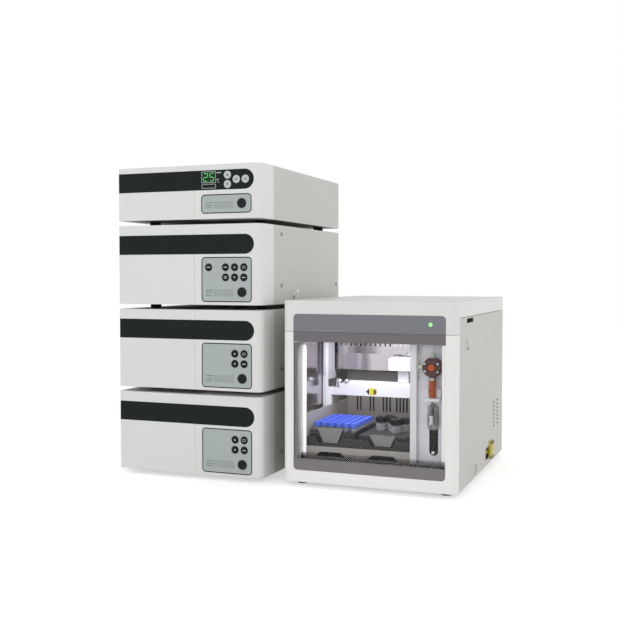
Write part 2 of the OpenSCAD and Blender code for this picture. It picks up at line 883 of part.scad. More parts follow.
// Sliding carrier: runners, deck and the front lip with two notches for the rack handles.
module tray_carrier() {
    x0 = bay_left + bay_t + 1;
    x1 = bay_right - bay_t - 1;
    lip_h = 20;
    lip_t = 3;
    notch_h = 4;
    color("dimgray") at_sampler() {
        translate([x0, carrier_front, carrier_z]) cube([x1 - x0, carrier_d, rack_z - carrier_z]);
        for (x = [x0 + 10, x1 - 22]) translate([x, carrier_front, bay_floor + bay_t + 0.3])
            cube([12, carrier_d, carrier_z - bay_floor - bay_t - 0.3 + eps]);
        translate([0, carrier_front + lip_t, carrier_z - 4]) rotate([90, 0, 0])
            linear_extrude(height = lip_t) polygon([
                [x0, 0], [x1, 0], [x1, lip_h], [230, lip_h], [219, notch_h], [181, notch_h],
                [169, lip_h], [118, lip_h], [106, notch_h], [70, notch_h], [57, lip_h],
                [x0, lip_h]]);
    }
}

// One rack: block and the handle plate standing in front of it.
module rack(x, w, h, handle) {
    plate_t = 3;
    gap_y = 3;
    translate([x, rack_y, rack_z]) cube([w, rack_d, h]);
    translate([0, rack_y - gap_y, rack_z]) rotate([90, 0, 0]) linear_extrude(height = plate_t)
        polygon(handle);
    translate([handle[0][0], rack_y - gap_y - eps, rack_z])
        cube([handle[1][0] - handle[0][0], gap_y + 2 * eps, h - 4]);
}

// Round pockets of a rack.
module pockets(places, r) {
    for (p = places) translate([p[0], p[1], vial_z])
        cylinder(r = r + hole_clear, h = rack_h, $fn = fine);
}

module sample_racks() {
    color("dimgray") at_sampler() {
        difference() {
            rack(43, 96, rack_h, [[73, 0], [104, 0], [116, 33], [59, 33]]);
            pockets(small_vials, vial_r);
        }
        difference() {
            rack(147, 100, bottle_rack_h, [[184, 0], [216, 0], [227, 24], [171, 24]]);
            pockets(bottles, bottle_r);
        }
    }
}

// Thin glass vial turned about its axis: base, body, shoulder and open neck.
module vial(r, body_h, neck_r, neck_h) {
    t = 1.2;
    rotate_extrude($fn = 24) polygon([
        [0, 0], [r, 0], [r, body_h - 2], [neck_r, body_h], [neck_r, body_h + neck_h],
        [neck_r - t, body_h + neck_h], [neck_r - t, body_h - 1.5], [r - t, body_h - 3],
        [r - t, t], [0, t]]);
}

// Cap that rests on the neck's rim and closes round it.
module vial_cap(r, h, neck_r, neck_h) {
    lift = 0.2;
    translate([0, 0, lift]) difference() {
        cylinder(r = r, h = h, $fn = 24);
        translate([0, 0, -1]) cylinder(r = neck_r + lift, h = neck_h - lift + 1, $fn = 24);
        translate([0, 0, h - 1]) cylinder(r = r * 0.45, h = 2, $fn = 24);
    }
}

module glass_vials() {
    color([0.8, 0.85, 0.85, 0.5]) at_sampler() {
        for (p = small_vials) translate([p[0], p[1], vial_z])
            vial(vial_r, vial_body_h, vial_neck_r, vial_neck_h);
        for (p = bottles) translate([p[0], p[1], vial_z])
            vial(bottle_r, bottle_body_h, bottle_neck_r, bottle_neck_h);
    }
}

module blue_caps() {
    color("cornflowerblue") at_sampler()
        for (p = small_vials) translate([p[0], p[1], vial_z + vial_body_h])
            vial_cap(6.2, 8.5, vial_neck_r, vial_neck_h);
}

module black_caps() {
    color(button_black) at_sampler()
        for (p = bottles) translate([p[0], p[1], vial_z + bottle_body_h])
            vial_cap(11.2, 11, bottle_neck_r, bottle_neck_h);
}

// ---------- needle drive ----------

beam_y = 195;
beam_z = 155;
beam_d = 20;
rail_z = beam_z + 26;
rail_t = 6;
carriage_x = 168;
needle_x = carriage_x + 28;
needle_y = 232;
needle_r = 2;

// White gantry: stepped beam, its column at the left, and the rail plate on top.
module needle_beam() {
    left = 23;
    right = bay_right - bay_t;
    rail_end_r = 7;
    color(white_paint) at_sampler() {
        translate([left, beam_y, beam_z]) cube([right - left, beam_d, 16]);
        translate([left + 30, beam_y, beam_z + 16 - eps])
            cube([right - left - 30, beam_d, rail_z - beam_z - 16 + eps]);
        translate([left, beam_y, sheet]) cube([11, 12, beam_z - sheet + eps]);
        translate([left - 4, beam_y - 14, 60]) cube([8, 14 + eps, 210]);
        translate([0, 0, rail_z - eps]) linear_extrude(height = rail_t + eps) {
            translate([74, beam_y + 4]) square([137, 2 * rail_end_r]);
            translate([211, beam_y + 4 + rail_end_r]) circle(r = rail_end_r, $fn = fine);
        }
        translate([left + 27, beam_y + 8, beam_z + 16 - eps]) dome_nut(7.5, 13);
        translate([left + 46, beam_y + 4.5, rail_z - eps]) dome_nut(5, 5);
    }
}

module dome_nut(r, h) {
    cylinder(r = r, h = h, $fn = fine);
    translate([0, 0, h]) sphere(r = r, $fn = fine);
}

// Carriage riding along the rail, bored for the needle.
module needle_carriage() {
    saddle_z = rail_z + rail_t + 0.3;
    block_z = 214;
    color(white_paint) at_sampler() difference() {
        union() {
            translate([carriage_x, 188, block_z]) cube([56, 58, 26]);
            translate([carriage_x + 16, 206, saddle_z]) cube([24, 20, block_z - saddle_z + eps]);
            translate([carriage_x + 12, beam_y + beam_d + 9, 178])
                cube([32, 16, block_z - 178 + eps]);
            translate([carriage_x + 12, beam_y + beam_d + 0.4, 178])
                cube([32, 9, 4]);
        }
        translate([needle_x, needle_y, 170]) cylinder(r = needle_r + 0.06, h = 80, $fn = fine);
    }
}

// Needle on its guide rod.
module needle() {
    color("silver") at_sampler() translate([needle_x, needle_y, 0]) {
        translate([0, 0, 168]) cylinder(r = 0.8, h = 12, $fn = 24);
        translate([0, 0, 178]) cylinder(r = needle_r, h = 74, $fn = fine);
    }
}

// ---------- syringe and valve ----------

rotor_r = 6.5;

// Valve head with its mounting neck, screws and two tubing nuts.
module valve_body() {
    head_l = 12;
    color("saddlebrown") at_sampler() {
        difference() {
            union() {
                bar_y(valve_x, valve_front, valve_z, valve_r, head_l);
                bar_y(valve_x, valve_front + head_l - eps, valve_z, 13,
                      panel_y - valve_front - head_l + eps);
                bar_y(valve_x, valve_front + 8, valve_z, valve_r + 1, 3.5);
                front_plate(valve_x - 6, valve_front + 2, valve_z - valve_r - 6, 12, 9, 10);
            }
            bar_y(valve_x, valve_front - 1, valve_z, rotor_r + 0.05, 14);
        }
        for (dx = [-12, 12], dz = [-8.5, 8.5])
            bar_y(valve_x + dx, valve_front - 1.6, valve_z + dz, 2.2, 1.6 + eps);
        for (turn = [0, -90]) translate([valve_x, valve_front + 6, valve_z])
            rotate([0, turn, 0]) translate([0, 0, valve_r - 0.5]) tubing_nut();
    }
}

module tubing_nut() {
    cylinder(r = 4.6, h = 5, $fn = fine);
    translate([0, 0, 5 - eps]) cylinder(r1 = 4, r2 = 3, h = 5.5, $fn = fine);
}

// Rotor hub, turning in the head.
module valve_rotor() {
    color("chocolate") at_sampler() {
        bar_y(valve_x, valve_front - 6, valve_z, rotor_r, 17);
        front_plate(valve_x - 1.2, valve_front - 7, valve_z - 5, 2.4, 1 + eps, 10);
    }
}

// Thick tube hanging from the valve.
module syringe_barrel() {
    barrel_top = valve_z - valve_r - 6;
    color("sienna") at_sampler() translate([valve_x, syringe_y, barrel_bottom]) difference() {
        cylinder(r = 6.2, h = barrel_top - barrel_bottom, $fn = fine);
        translate([0, 0, -1]) cylinder(r = 3.2, h = barrel_top - barrel_bottom - 5, $fn = fine);
    }
}

// Plunger with its piston, its clamp and the carriage that runs in the slot.
module syringe_plunger() {
    z = 118;
    color("silver") at_sampler() {
        translate([valve_x, syringe_y, z + 20]) cylinder(r = 2.2, h = 68, $fn = fine);
        translate([valve_x, syringe_y, z + 84]) cylinder(r = 3.14, h = 4, $fn = fine);
        translate([valve_x, syringe_y, z + 12]) cylinder(r = 6, h = 17, $fn = fine);
        front_plate(valve_x - 10.5, 24, z, 21, 8, 49, 4);
        front_plate(valve_x - 5, 31, z + 1, 10, 6, 14, 3);
    }
}

// ---------- side fittings ----------

// Open ring along Y that stands proud of the side wall by the given amount, on a strap
// that its screw holds to the wall.
module tube_clip(x, spot, r, proud) {
    strap_w = 9;
    ring_l = 10;
    wall = 1.2;
    slit = 1.6;
    ring_x = proud - r;
    translate([x, spot[0], spot[1]]) {
        difference() {
            translate([0, -strap_w / 2, -clip_drop - 5])
                cube([strap_t, strap_w, clip_drop + 5 + r]);
            bar_x(-1, 0, -clip_drop, shank_hole_r, strap_t + 2);
        }
        translate([0, ring_l / 2, 0]) rotate([90, 0, 0]) linear_extrude(height = ring_l)
            difference() {
                intersection() {
                    translate([ring_x, 0]) circle(r = r, $fn = fine);
                    translate([0, -r]) square([proud, 2 * r]);
                }
                translate([ring_x, 0]) circle(r = r - wall, $fn = fine);
                translate([ring_x, 0]) rotate(60) square([2 * r, slit]);
            }
    }
}

module tube_clips() {
    color(white_paint) {
        at_stack(detector_z) tube_clip(stack_w, detector_clip, 6, 12);
        at_sampler() tube_clip(sampler_w, sampler_clip, 5.5, clip_proud);
    }
}

// Slab standing on a side wall: y and z are its near lower corner.
module side_plate(x, y, z, w, h, t, r) {
    translate([x, y, z]) rotate([90, 0, 90]) linear_extrude(height = t) rounded_rect(w, h, r);
}

// Drain connector: stepped clamp over the rear of its opening, its elbow inside.
module drain_connector() {
    y = drain_y + 37;
    z = 8;
    w = 38;
    h = 40;
    step = 2.5;
    base_t = 3.6;
    elbow_l = 14;
    elbow_z = drain_z + drain_h / 2;
    color("yellowgreen") at_sampler() {
        side_plate(sampler_w, y, z, w, h, base_t, 7);
        side_plate(sampler_w + base_t - eps, y + step, z + step, w - 2 * step,
                   h - 2 * step, clip_proud - 0.2 - base_t, 6);
        bar_x(sampler_w - elbow_l, y + w / 2, elbow_z, 8, elbow_l + eps);
        bar_y(sampler_w - elbow_l / 2, y - 6, elbow_z, 5, w / 2 + 6);
    }
}

// ---------- assembly ----------

oven_cover();
detector_cover();
pump_cover(pump_a_z);  // pump_a_cover
pump_cover(pump_b_z);  // pump_b_cover
oven_chassis();
module_chassis(detector_z, module_h);  // detector_chassis
module_chassis(pump_a_z, module_h);  // pump_a_chassis
module_chassis(pump_b_z, module_h);  // pump_b_chassis
module_fascia(oven_z, oven_h, oven_band_z, oven_keypad_z, oven_keypad_h, oven_power_z);  // oven_fascia
module_fascia(detector_z, module_h, band_z, keypad_z, keypad_h, power_z);  // detector_fascia
module_fascia(pump_a_z, module_h, band_z, keypad_z, keypad_h, power_z);  // pump_a_fascia
module_fascia(pump_b_z, module_h, band_z, keypad_z, keypad_h, power_z);  // pump_b_fascia
module_door(oven_z, oven_h, oven_band_z);  // oven_door
module_door(detector_z, module_h, band_z);  // detector_door
module_door(pump_a_z, module_h, band_z);  // pump_a_door
module_door(pump_b_z, module_h, band_z);  // pump_b_door
door_band(oven_z, oven_band_z);  // oven_door_band
door_band(detector_z, band_z);  // detector_door_band
door_band(pump_a_z, band_z);  // pump_a_door_band
door_band(pump_b_z, band_z);  // pump_b_door_band
fascia_bands();
oven_keypad();
detector_keypad();
pump_keypads();
temperature_display();
power_button(oven_z, oven_power_z);  // oven_power_button
power_button(detector_z, power_z);  // detector_power_button
power_button(pump_a_z, power_z);  // pump_a_power_button
power_button(pump_b_z, power_z);  // pump_b_power_button
rubber_feet();
analytical_column();
flow_cell();
pump_heads(pump_a_z);  // pump_a_heads
pump_heads(pump_b_z);  // pump_b_heads
purge_knob(pump_a_z);  // pump_a_purge_knob
purge_knob(pump_b_z);  // pump_b_purge_knob
sampler_chassis();
sampler_hood();
hood_panel();
status_lamp();
sampler_door_frame();
sampler_door_pane();
tray_compartment();
steel_shield();
syringe_panel();
tray_carrier();
sample_racks();
glass_vials();
blue_caps();
black_caps();
needle_beam();
needle_carriage();
needle();
valve_body();
valve_rotor();
syringe_barrel();
syringe_plunger();
cover_screws();
tube_clips();
drain_connector();
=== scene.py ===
import math

import bpy
import numpy as np
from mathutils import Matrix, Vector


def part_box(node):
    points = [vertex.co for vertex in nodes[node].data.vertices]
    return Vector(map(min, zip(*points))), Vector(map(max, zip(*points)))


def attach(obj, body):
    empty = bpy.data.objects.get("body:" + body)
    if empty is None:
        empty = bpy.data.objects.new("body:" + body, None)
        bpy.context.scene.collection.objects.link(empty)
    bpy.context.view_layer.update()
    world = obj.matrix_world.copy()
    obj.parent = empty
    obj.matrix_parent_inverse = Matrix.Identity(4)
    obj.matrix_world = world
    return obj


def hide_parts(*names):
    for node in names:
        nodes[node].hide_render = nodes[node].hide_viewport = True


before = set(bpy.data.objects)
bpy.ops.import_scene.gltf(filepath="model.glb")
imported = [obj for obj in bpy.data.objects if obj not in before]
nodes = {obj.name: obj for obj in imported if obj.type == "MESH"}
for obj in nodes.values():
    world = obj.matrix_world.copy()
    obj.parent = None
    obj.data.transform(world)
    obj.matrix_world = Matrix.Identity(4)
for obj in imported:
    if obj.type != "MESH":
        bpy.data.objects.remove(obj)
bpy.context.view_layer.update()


print("frame loaded:", len(nodes), "nodes")

mm = 0.001
units = {"oven": "oven", "detector": "detector", "upperPump": "pump_a", "lowerPump": "pump_b"}
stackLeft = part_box("oven_cover")[0].x
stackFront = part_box("oven_door")[0].y
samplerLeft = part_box("sampler_door_frame")[0].x
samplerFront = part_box("sampler_door_frame")[0].y
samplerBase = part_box("sampler_door_frame")[0].z


# ---- placing: millimetres in a unit's own front view become metres in the frame

def onStack(unit, x, y, z):
    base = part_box(units[unit] + "_fascia")[0].z
    return placed(x, y, z, stackLeft, stackFront, base)


def onSampler(x, y, z):
    return placed(x, y, z, samplerLeft, samplerFront, samplerBase)


def placed(x, y, z, left, front, base):
    x, y, z = np.broadcast_arrays(x, y, z)
    return np.stack([left + x * mm, front + y * mm, base + z * mm], -1)


def placeOn(unit):
    return lambda x, y, z: onStack(unit, x, y, z)


# ---- meshes

def putMesh(name, points, faces, material, body, slot, smooth=False):
    mesh = bpy.data.meshes.new(name)
    mesh.from_pydata(points.reshape(-1, 3).tolist(), [], faces)
    mesh.materials.append(material)
    if smooth:
        mesh.polygons.foreach_set("use_smooth", np.ones(len(mesh.polygons), bool))
    piece = bpy.data.objects.new(name, mesh)
    bpy.context.scene.collection.objects.link(piece)
    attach(piece, body)
    return piece


def ringFaces(rings, points, first=0, closedRings=False):
    # quads between each ring and the next, wrapping round every ring
    r = np.arange(rings if closedRings else rings - 1)[:, None]
    p = np.arange(points)[None, :]
    nextRing, nextPoint = (r + 1) % rings, (p + 1) % points
    quads = np.stack([r * points + p, r * points + nextPoint,
                      nextRing * points + nextPoint, nextRing * points + p], -1)
    return (quads.reshape(-1, 4) + first).tolist()


def endFaces(rings, points, flip=False):
    # the two faces that close the first and the last ring
    first = list(range(points))
    last = list(range((rings - 1) * points, rings * points))
    return [first, last[::-1]] if flip else [first[::-1], last]


def gather(shapes):
    # joins (points, faces) pairs into one pair
    allPoints, allFaces, count = [], [], 0
    for points, faces in shapes:
        flat = points.reshape(-1, 3)
        allPoints.append(flat)
        allFaces += [[i + count for i in face] for face in faces]
        count += len(flat)
    return np.concatenate(allPoints), allFaces


def roundRect(x0, z0, x1, z1, radius, perCorner=8):
    # each corner is a quarter circle; the corners follow each other anticlockwise
    quarter = np.array([0, 1, 2, 3])[:, None] * math.pi / 2
    turn = np.linspace(0, math.pi / 2, perCorner)[None, :] + quarter
    cx = np.array([x1 - radius, x0 + radius, x0 + radius, x1 - radius])[:, None]
    cz = np.array([z1 - radius, z1 - radius, z0 + radius, z0 + radius])[:, None]
    return np.stack([cx + radius * np.cos(turn), cz + radius * np.sin(turn)], -1).reshape(-1, 2)


def circle(x, z, radius, points=24):
    turn = np.arange(points) * 2 * math.pi / points
    return np.stack([x + radius * np.cos(turn), z + radius * np.sin(turn)], -1)


def flatPrint(outline, y, place):
    # one face just proud of its surface, facing the front
    points = place(outline[:, 0], y, outline[:, 1])
    return points, [list(range(len(outline)))]


def bandPrint(outer, inner, y, place):
    # strip between two outlines with the same number of points
    both = np.stack([outer, inner])
    points = place(both[..., 0], y, both[..., 1])
    return points, ringFaces(2, len(outer))


def dotPrint(centres, radius, sides, y, place):
    # every dot is a regular polygon: centre plus radius times cosine and sine of the turn
    turn = np.arange(sides) * 2 * math.pi / sides
    x = centres[:, None, 0] + radius * np.cos(turn)
    z = centres[:, None, 1] + radius * np.sin(turn)
    faces = np.arange(len(centres) * sides).reshape(-1, sides).tolist()
    return place(x, y, z), faces


def revolve(profile, centre, axis, place, points=28, flutes=0, depth=0.0):
    # profile pairs are (radius, distance along the axis), from one closed end to the other;
    # a fluted turn adds depth times the cosine of flutes turns to every radius above zero
    profile = np.array(profile, float)
    turn = np.arange(points) * 2 * math.pi / points
    radius = profile[:, :1] + np.where(profile[:, :1] > 0, depth, 0) * np.cos(flutes * turn)[None, :]
    a = radius * np.cos(turn)
    b = radius * np.sin(turn)
    along = profile[:, 1:] + 0 * turn
    x, y, z = {"y": (a, along, b), "z": (a, b, along), "x": (along, a, b)}[axis]
    faces = ringFaces(len(profile), points) + endFaces(len(profile), points)
    return place(centre[0] + x, centre[1] + y, centre[2] + z), faces


def slab(outline, y0, y1, place, ease=0.5):
    # upright plate from an outline seen from the front, its front edge eased by a small slope
    middle = outline.mean(0)
    reach = np.abs(outline - middle).max(0)
    front = middle + (outline - middle) * (1 - ease / reach)
    rings = [(outline, y1), (outline, y0 + ease), (front, y0)]
    points = np.stack([place(ring[:, 0], y, ring[:, 1]) for ring, y in rings])
    return points, ringFaces(3, len(outline)) + endFaces(3, len(outline))


def sidePlate(outline, x0, x1, place):
    # plate standing along the depth: its outline is drawn in y and z
    rings = np.stack([place(x, outline[:, 0], outline[:, 1]) for x in (x0, x1)])
    return rings, ringFaces(2, len(outline)) + endFaces(2, len(outline), flip=True)


def sweepTube(path, radius, place, points=10):
    # rings square to a smooth path: each point of a ring is the path plus radius times a turned side
    path = np.array(path, float)
    ahead = np.gradient(path, axis=0)
    ahead /= np.linalg.norm(ahead, axis=1)[:, None]
    side = np.cross(ahead, [0.3, 1.0, 0.2])
    side /= np.linalg.norm(side, axis=1)[:, None]
    other = np.cross(ahead, side)
    turn = (np.arange(points) * 2 * math.pi / points)[None, :, None]
    ring = path[:, None] + radius * (side[:, None] * np.cos(turn) + other[:, None] * np.sin(turn))
    faces = ringFaces(len(path), points) + endFaces(len(path), points)
    return place(ring[..., 0], ring[..., 1], ring[..., 2]), faces


def smoothPath(corners, count=24):
    # curve through the corners: each stretch is a cubic with slopes from the neighbours
    corners = np.array(corners, float)
    slopes = np.gradient(corners, axis=0)
    at = np.linspace(0, len(corners) - 1, count)
    i = np.minimum(at.astype(int), len(corners) - 2)
    t = (at - i)[:, None]
    return ((2 * t ** 3 - 3 * t ** 2 + 1) * corners[i] + (t ** 3 - 2 * t ** 2 + t) * slopes[i]
            + (3 * t ** 2 - 2 * t ** 3) * corners[i + 1] + (t ** 3 - t ** 2) * slopes[i + 1])


# ---- materials

def material(name, colour, rough=0.5, metal=0.0, coat=0.0, alpha=1.0, ior=1.5, shine=0.5):
    made = bpy.data.materials.new(name)
    made.use_nodes = True
    shader = made.node_tree.nodes["Principled BSDF"]
    shader.inputs["Base Color"].default_value = (*colour, 1)
    shader.inputs["Roughness"].default_value = rough
    shader.inputs["Metallic"].default_value = metal
    shader.inputs["Coat Weight"].default_value = coat
    shader.inputs["Coat Roughness"].default_value = 0.08
    shader.inputs["Specular IOR Level"].default_value = shine
    shader.inputs["Alpha"].default_value = alpha
    shader.inputs["IOR"].default_value = ior
    return made, shader


def linear(r, g, b):
    # screen values out of 255 to scene light
    part = np.array([r, g, b]) / 255
    return tuple(np.where(part <= 0.04045, part / 12.92, ((part + 0.055) / 1.055) ** 2.4))


def noiseOn(made, scale, detail=3.0, stretch=(1, 1, 1)):
    tree = made.node_tree
    where = tree.nodes.new("ShaderNodeTexCoord")
    mapping = tree.nodes.new("ShaderNodeMapping")
    mapping.inputs["Scale"].default_value = stretch
    noise = tree.nodes.new("ShaderNodeTexNoise")
    noise.inputs["Scale"].default_value = scale
    noise.inputs["Detail"].default_value = detail
    tree.links.new(where.outputs["Object"], mapping.inputs["Vector"])
    tree.links.new(mapping.outputs["Vector"], noise.inputs["Vector"])
    return noise


def grain(made, shader, scale, height, edge=0.0, stretch=(1, 1, 1)):
    # fine texture of the surface, and edges that catch the light as if rounded
    tree = made.node_tree
    noise = noiseOn(made, scale, 2.0, stretch)
    bump = tree.nodes.new("ShaderNodeBump")
    bump.inputs["Distance"].default_value = height
    bump.inputs["Strength"].default_value = 0.6
    tree.links.new(noise.outputs["Fac"], bump.inputs["Height"])
    if edge:
        rounded = tree.nodes.new("ShaderNodeBevel")
        rounded.samples = 4
        rounded.inputs["Radius"].default_value = edge
        tree.links.new(rounded.outputs["Normal"], bump.inputs["Normal"])
    tree.links.new(bump.outputs["Normal"], shader.inputs["Normal"])


def mottle(made, shader, socket, low, high, scale, detail=3.0, stretch=(1, 1, 1)):
    # slow drift of a colour or of the roughness over the surface
    tree = made.node_tree
    noise = noiseOn(made, scale, detail, stretch)
    if socket == "Base Color":
        mix = tree.nodes.new("ShaderNodeMix")
        mix.data_type = "RGBA"
        mix.inputs["A"].default_value = (*low, 1)
        mix.inputs["B"].default_value = (*high, 1)
        tree.links.new(noise.outputs["Fac"], mix.inputs["Factor"])
        tree.links.new(mix.outputs["Result"], shader.inputs[socket])
    else:
        spread = tree.nodes.new("ShaderNodeMapRange")
        spread.inputs["To Min"].default_value = low
        spread.inputs["To Max"].default_value = high
        tree.links.new(noise.outputs["Fac"], spread.inputs["Value"])
        tree.links.new(spread.outputs["Result"], shader.inputs[socket])


def painted(name, shade, rough, spread=0.02, grainScale=900, height=0.00006, edge=0.0012, shine=0.5):
    base = np.array(linear(*shade))
    made, shader = material(name, tuple(base), rough, shine=shine)
    mottle(made, shader, "Base Color", tuple(base * (1 - spread)), tuple(base * (1 + spread)), 9)
    mottle(made, shader, "Roughness", rough - 0.05, rough + 0.06, 40)
    grain(made, shader, grainScale, height, edge)
    return made


def metalOf(name, shade, rough, streak=(1, 1, 1), scale=600, height=0.00002, edge=0.0003):
    made, shader = material(name, linear(*shade), rough, metal=1.0)
    mottle(made, shader, "Roughness", rough * 0.8, rough * 1.25, 120, stretch=streak)
    grain(made, shader, scale, height, edge, streak)
    return made


def glossy(name, shade, rough=0.25, spread=0.03, alpha=1.0, coat=0.3, scale=60, shine=0.5):
    base = np.array(linear(*shade))
    made, shader = material(name, tuple(base), rough, coat=coat, alpha=alpha, shine=shine)
    mottle(made, shader, "Base Color", tuple(base * (1 - spread)), tuple(base * (1 + spread)), scale)
    mottle(made, shader, "Roughness", rough * 0.85, rough * 1.2, 80)
    return made


finishes = {
    "whiteMoulding": painted("whiteMoulding", (233, 233, 231), 0.42, 0.012),
    "frameWhite": painted("frameWhite", (247, 245, 243), 0.42, 0.012),
    "plateGrey": painted("plateGrey", (200, 198, 206), 0.35, 0.01, 1100, 0.00003, 0.0008),
    "greySheet": painted("greySheet", (205, 203, 198), 0.5, 0.02, 700, 0.00009),
    "zincSheet": metalOf("zincSheet", (150, 152, 153), 0.42, (1, 8, 1)),
    "darkBand": glossy("darkBand", (25, 34, 32), 0.3, 0.05, coat=0.0, scale=14, shine=0.12),
    "keypadFilm": painted("keypadFilm", (180, 189, 188), 0.38, 0.03, 1400, 0.00003, 0.0002, shine=0.3),
    "displayLens": glossy("displayLens", (12, 52, 30), 0.2, 0.1, coat=0.0, shine=0.25),
    "buttonBlack": painted("buttonBlack", (32, 38, 38), 0.4, 0.05, 1500, 0.00003, 0.0008, shine=0.12),
    "rubber": painted("rubber", (26, 26, 27), 0.75, 0.08, 800, 0.0001, 0.0008, shine=0.2),
    "polished": metalOf("polished", (205, 206, 208), 0.14, (1, 1, 6)),
    "knobSteel": metalOf("knobSteel", (182, 184, 184), 0.24, (1, 1, 3)),
    "screwSteel": metalOf("screwSteel", (172, 173, 174), 0.3, (1, 1, 3)),
    "greyBlock": painted("greyBlock", (110, 112, 113), 0.5),
    "panelGrey": painted("panelGrey", (127, 129, 135), 0.38, 0.012, 1200, 0.00002, 0.0004, shine=0.3),
    "liningGrey": painted("liningGrey", (168, 162, 158), 0.4, 0.04),
    "mirrorShield": metalOf("mirrorShield", (190, 184, 191), 0.13, (1, 1, 8), 300, 0.000004),
    "innerWhite": painted("innerWhite", (238, 238, 242), 0.35, 0.01, 1100, 0.00003, 0.0008),
    "panelWhite": painted("panelWhite", (224, 223, 229), 0.35, 0.01, 1100, 0.00003, 0.0008),
    "rackGrey": painted("rackGrey", (52, 52, 54), 0.4, 0.06, 900, 0.00004, 0.0008, shine=0.3),
    "rackSmoke": glossy("rackSmoke", (124, 123, 120), 0.16, 0.05, coat=0.5, scale=90),
    "capBlue": painted("capBlue", (90, 120, 242), 0.38, 0.05, 900, 0.00002, 0.0006, shine=0.3),
    "capBlack": painted("capBlack", (30, 30, 32), 0.4, 0.08, 900, 0.00003, 0.0006, shine=0.2),
    "amberValve": glossy("amberValve", (74, 36, 34), 0.26, 0.2, coat=0.2, scale=180, shine=0.25),
    "hubOrange": glossy("hubOrange", (186, 84, 34), 0.34, 0.06, coat=0.0, shine=0.2),
    "amberTube": glossy("amberTube", (160, 72, 32), 0.2, 0.08, coat=0.15, shine=0.2),
    "ivoryNut": glossy("ivoryNut", (198, 198, 176), 0.3, 0.05, coat=0.2),
    "clearNut": glossy("clearNut", (178, 180, 180), 0.12, 0.06, coat=0.8),
    "clipWhite": painted("clipWhite", (240, 240, 238), 0.4),
    "clampGreen": painted("clampGreen", (206, 196, 92), 0.45, 0.05),
    "clampOlive": painted("clampOlive", (84, 82, 44), 0.5, 0.08),
    "inkDark": painted("inkDark", (30, 38, 38), 0.4, 0.03, 1200, 0.00001, 0.0, shine=0.2),
    "inkFaint": painted("inkFaint", (112, 122, 123), 0.4, 0.03, 1200, 0.00001, 0.0, shine=0.2),
    "inkPale": painted("inkPale", (206, 212, 212), 0.4, 0.03, 1200, 0.00001, 0.0, shine=0.2),
    "inkBlack": painted("inkBlack", (26, 28, 29), 0.4, 0.03, 1200, 0.00001, 0.0, shine=0.1),
    "keyFace": painted("keyFace", (26, 35, 35), 0.36, 0.04, 1300, 0.00002, 0.0002, shine=0.12),
    "keyPale": painted("keyPale", (196, 202, 200), 0.34, 0.03, 1300, 0.00002, 0.0002),
    "paneGrey": painted("paneGrey", (125, 120, 121), 0.34, 0.012, 1200, 0.00001, 0.0, shine=0.4),
    "paneDark": painted("paneDark", (113, 108, 112), 0.34, 0.012, 1200, 0.00001, 0.0, shine=0.4),
    "markYellow": painted("markYellow", (222, 214, 62), 0.4, 0.04, 1200, 0.00002, 0.0),
    "markBrown": painted("markBrown", (104, 80, 34), 0.4, 0.04, 1200, 0.00002, 0.0),
    "slotBlack": painted("slotBlack", (20, 20, 22), 0.4, 0.06, 900, 0.00002, 0.0, shine=0.2),
}


def clearSheet(name, shade, alpha, rough=0.05):
    made, shader = material(name, linear(*shade), rough, alpha=alpha, ior=1.45)
    mottle(made, shader, "Roughness", rough * 0.8, rough * 1.4, 30)
    return made


def glowing(name, shade, strength):
    made, shader = material(name, linear(*shade), 0.35)
    shader.inputs["Emission Color"].default_value = (*linear(*shade), 1)
    shader.inputs["Emission Strength"].default_value = strength
    mottle(made, shader, "Roughness", 0.25, 0.4, 300)
    return made


finishes["pane"] = clearSheet("pane", (225, 232, 232), 0.014)
finishes["vialGlass"] = clearSheet("vialGlass", (235, 238, 242), 0.2, 0.04)
finishes["blockClear"] = clearSheet("blockClear", (168, 174, 173), 0.42, 0.08)
finishes["lampGreen"] = glowing("lampGreen", (150, 222, 146), 0.55)
finishes["digitGreen"] = glowing("digitGreen", (90, 200, 100), 0.3)
finishes["stripWhite"] = glowing("stripWhite", (246, 245, 250), 0.6)
print("finishes ready:", len(finishes))

wears = {
    "greySheet": ["oven_cover", "detector_cover", "pump_a_cover", "pump_b_cover", "sampler_chassis"],
    "zincSheet": ["oven_chassis", "detector_chassis", "pump_a_chassis", "pump_b_chassis"],
    "whiteMoulding": ["oven_fascia", "detector_fascia", "pump_a_fascia", "pump_b_fascia", "oven_door",
                      "detector_door", "pump_a_door", "pump_b_door", "sampler_hood"],
    "frameWhite": ["sampler_door_frame"],
    "darkBand": ["oven_door_band", "detector_door_band", "pump_a_door_band", "pump_b_door_band",
                 "fascia_bands"],
    "keypadFilm": ["oven_keypad", "detector_keypad", "pump_keypads"],
    "displayLens": ["temperature_display"],
    "buttonBlack": ["oven_power_button", "detector_power_button", "pump_a_power_button",
                    "pump_b_power_button", "pump_a_purge_knob", "pump_b_purge_knob"],
    "rubber": ["rubber_feet"],
    "polished": ["analytical_column", "pump_a_heads", "pump_b_heads", "needle", "syringe_plunger"],
    "screwSteel": ["cover_screws"],
    "greyBlock": ["flow_cell"],
    "panelGrey": ["hood_panel"],
    "lampGreen": ["status_lamp"],
    "pane": ["sampler_door_pane"],
    "liningGrey": ["tray_compartment"],
    "mirrorShield": ["steel_shield"],
    "panelWhite": ["syringe_panel"],
    "innerWhite": ["needle_beam", "needle_carriage"],
    "rackGrey": ["tray_carrier", "sample_racks"],
    "vialGlass": ["glass_vials"],
    "capBlue": ["blue_caps"],
    "capBlack": ["black_caps"],
    "amberValve": ["valve_body"],
    "hubOrange": ["valve_rotor"],
    "amberTube": ["syringe_barrel"],
    "clipWhite": ["tube_clips"],
    "clampGreen": ["drain_connector"],
}
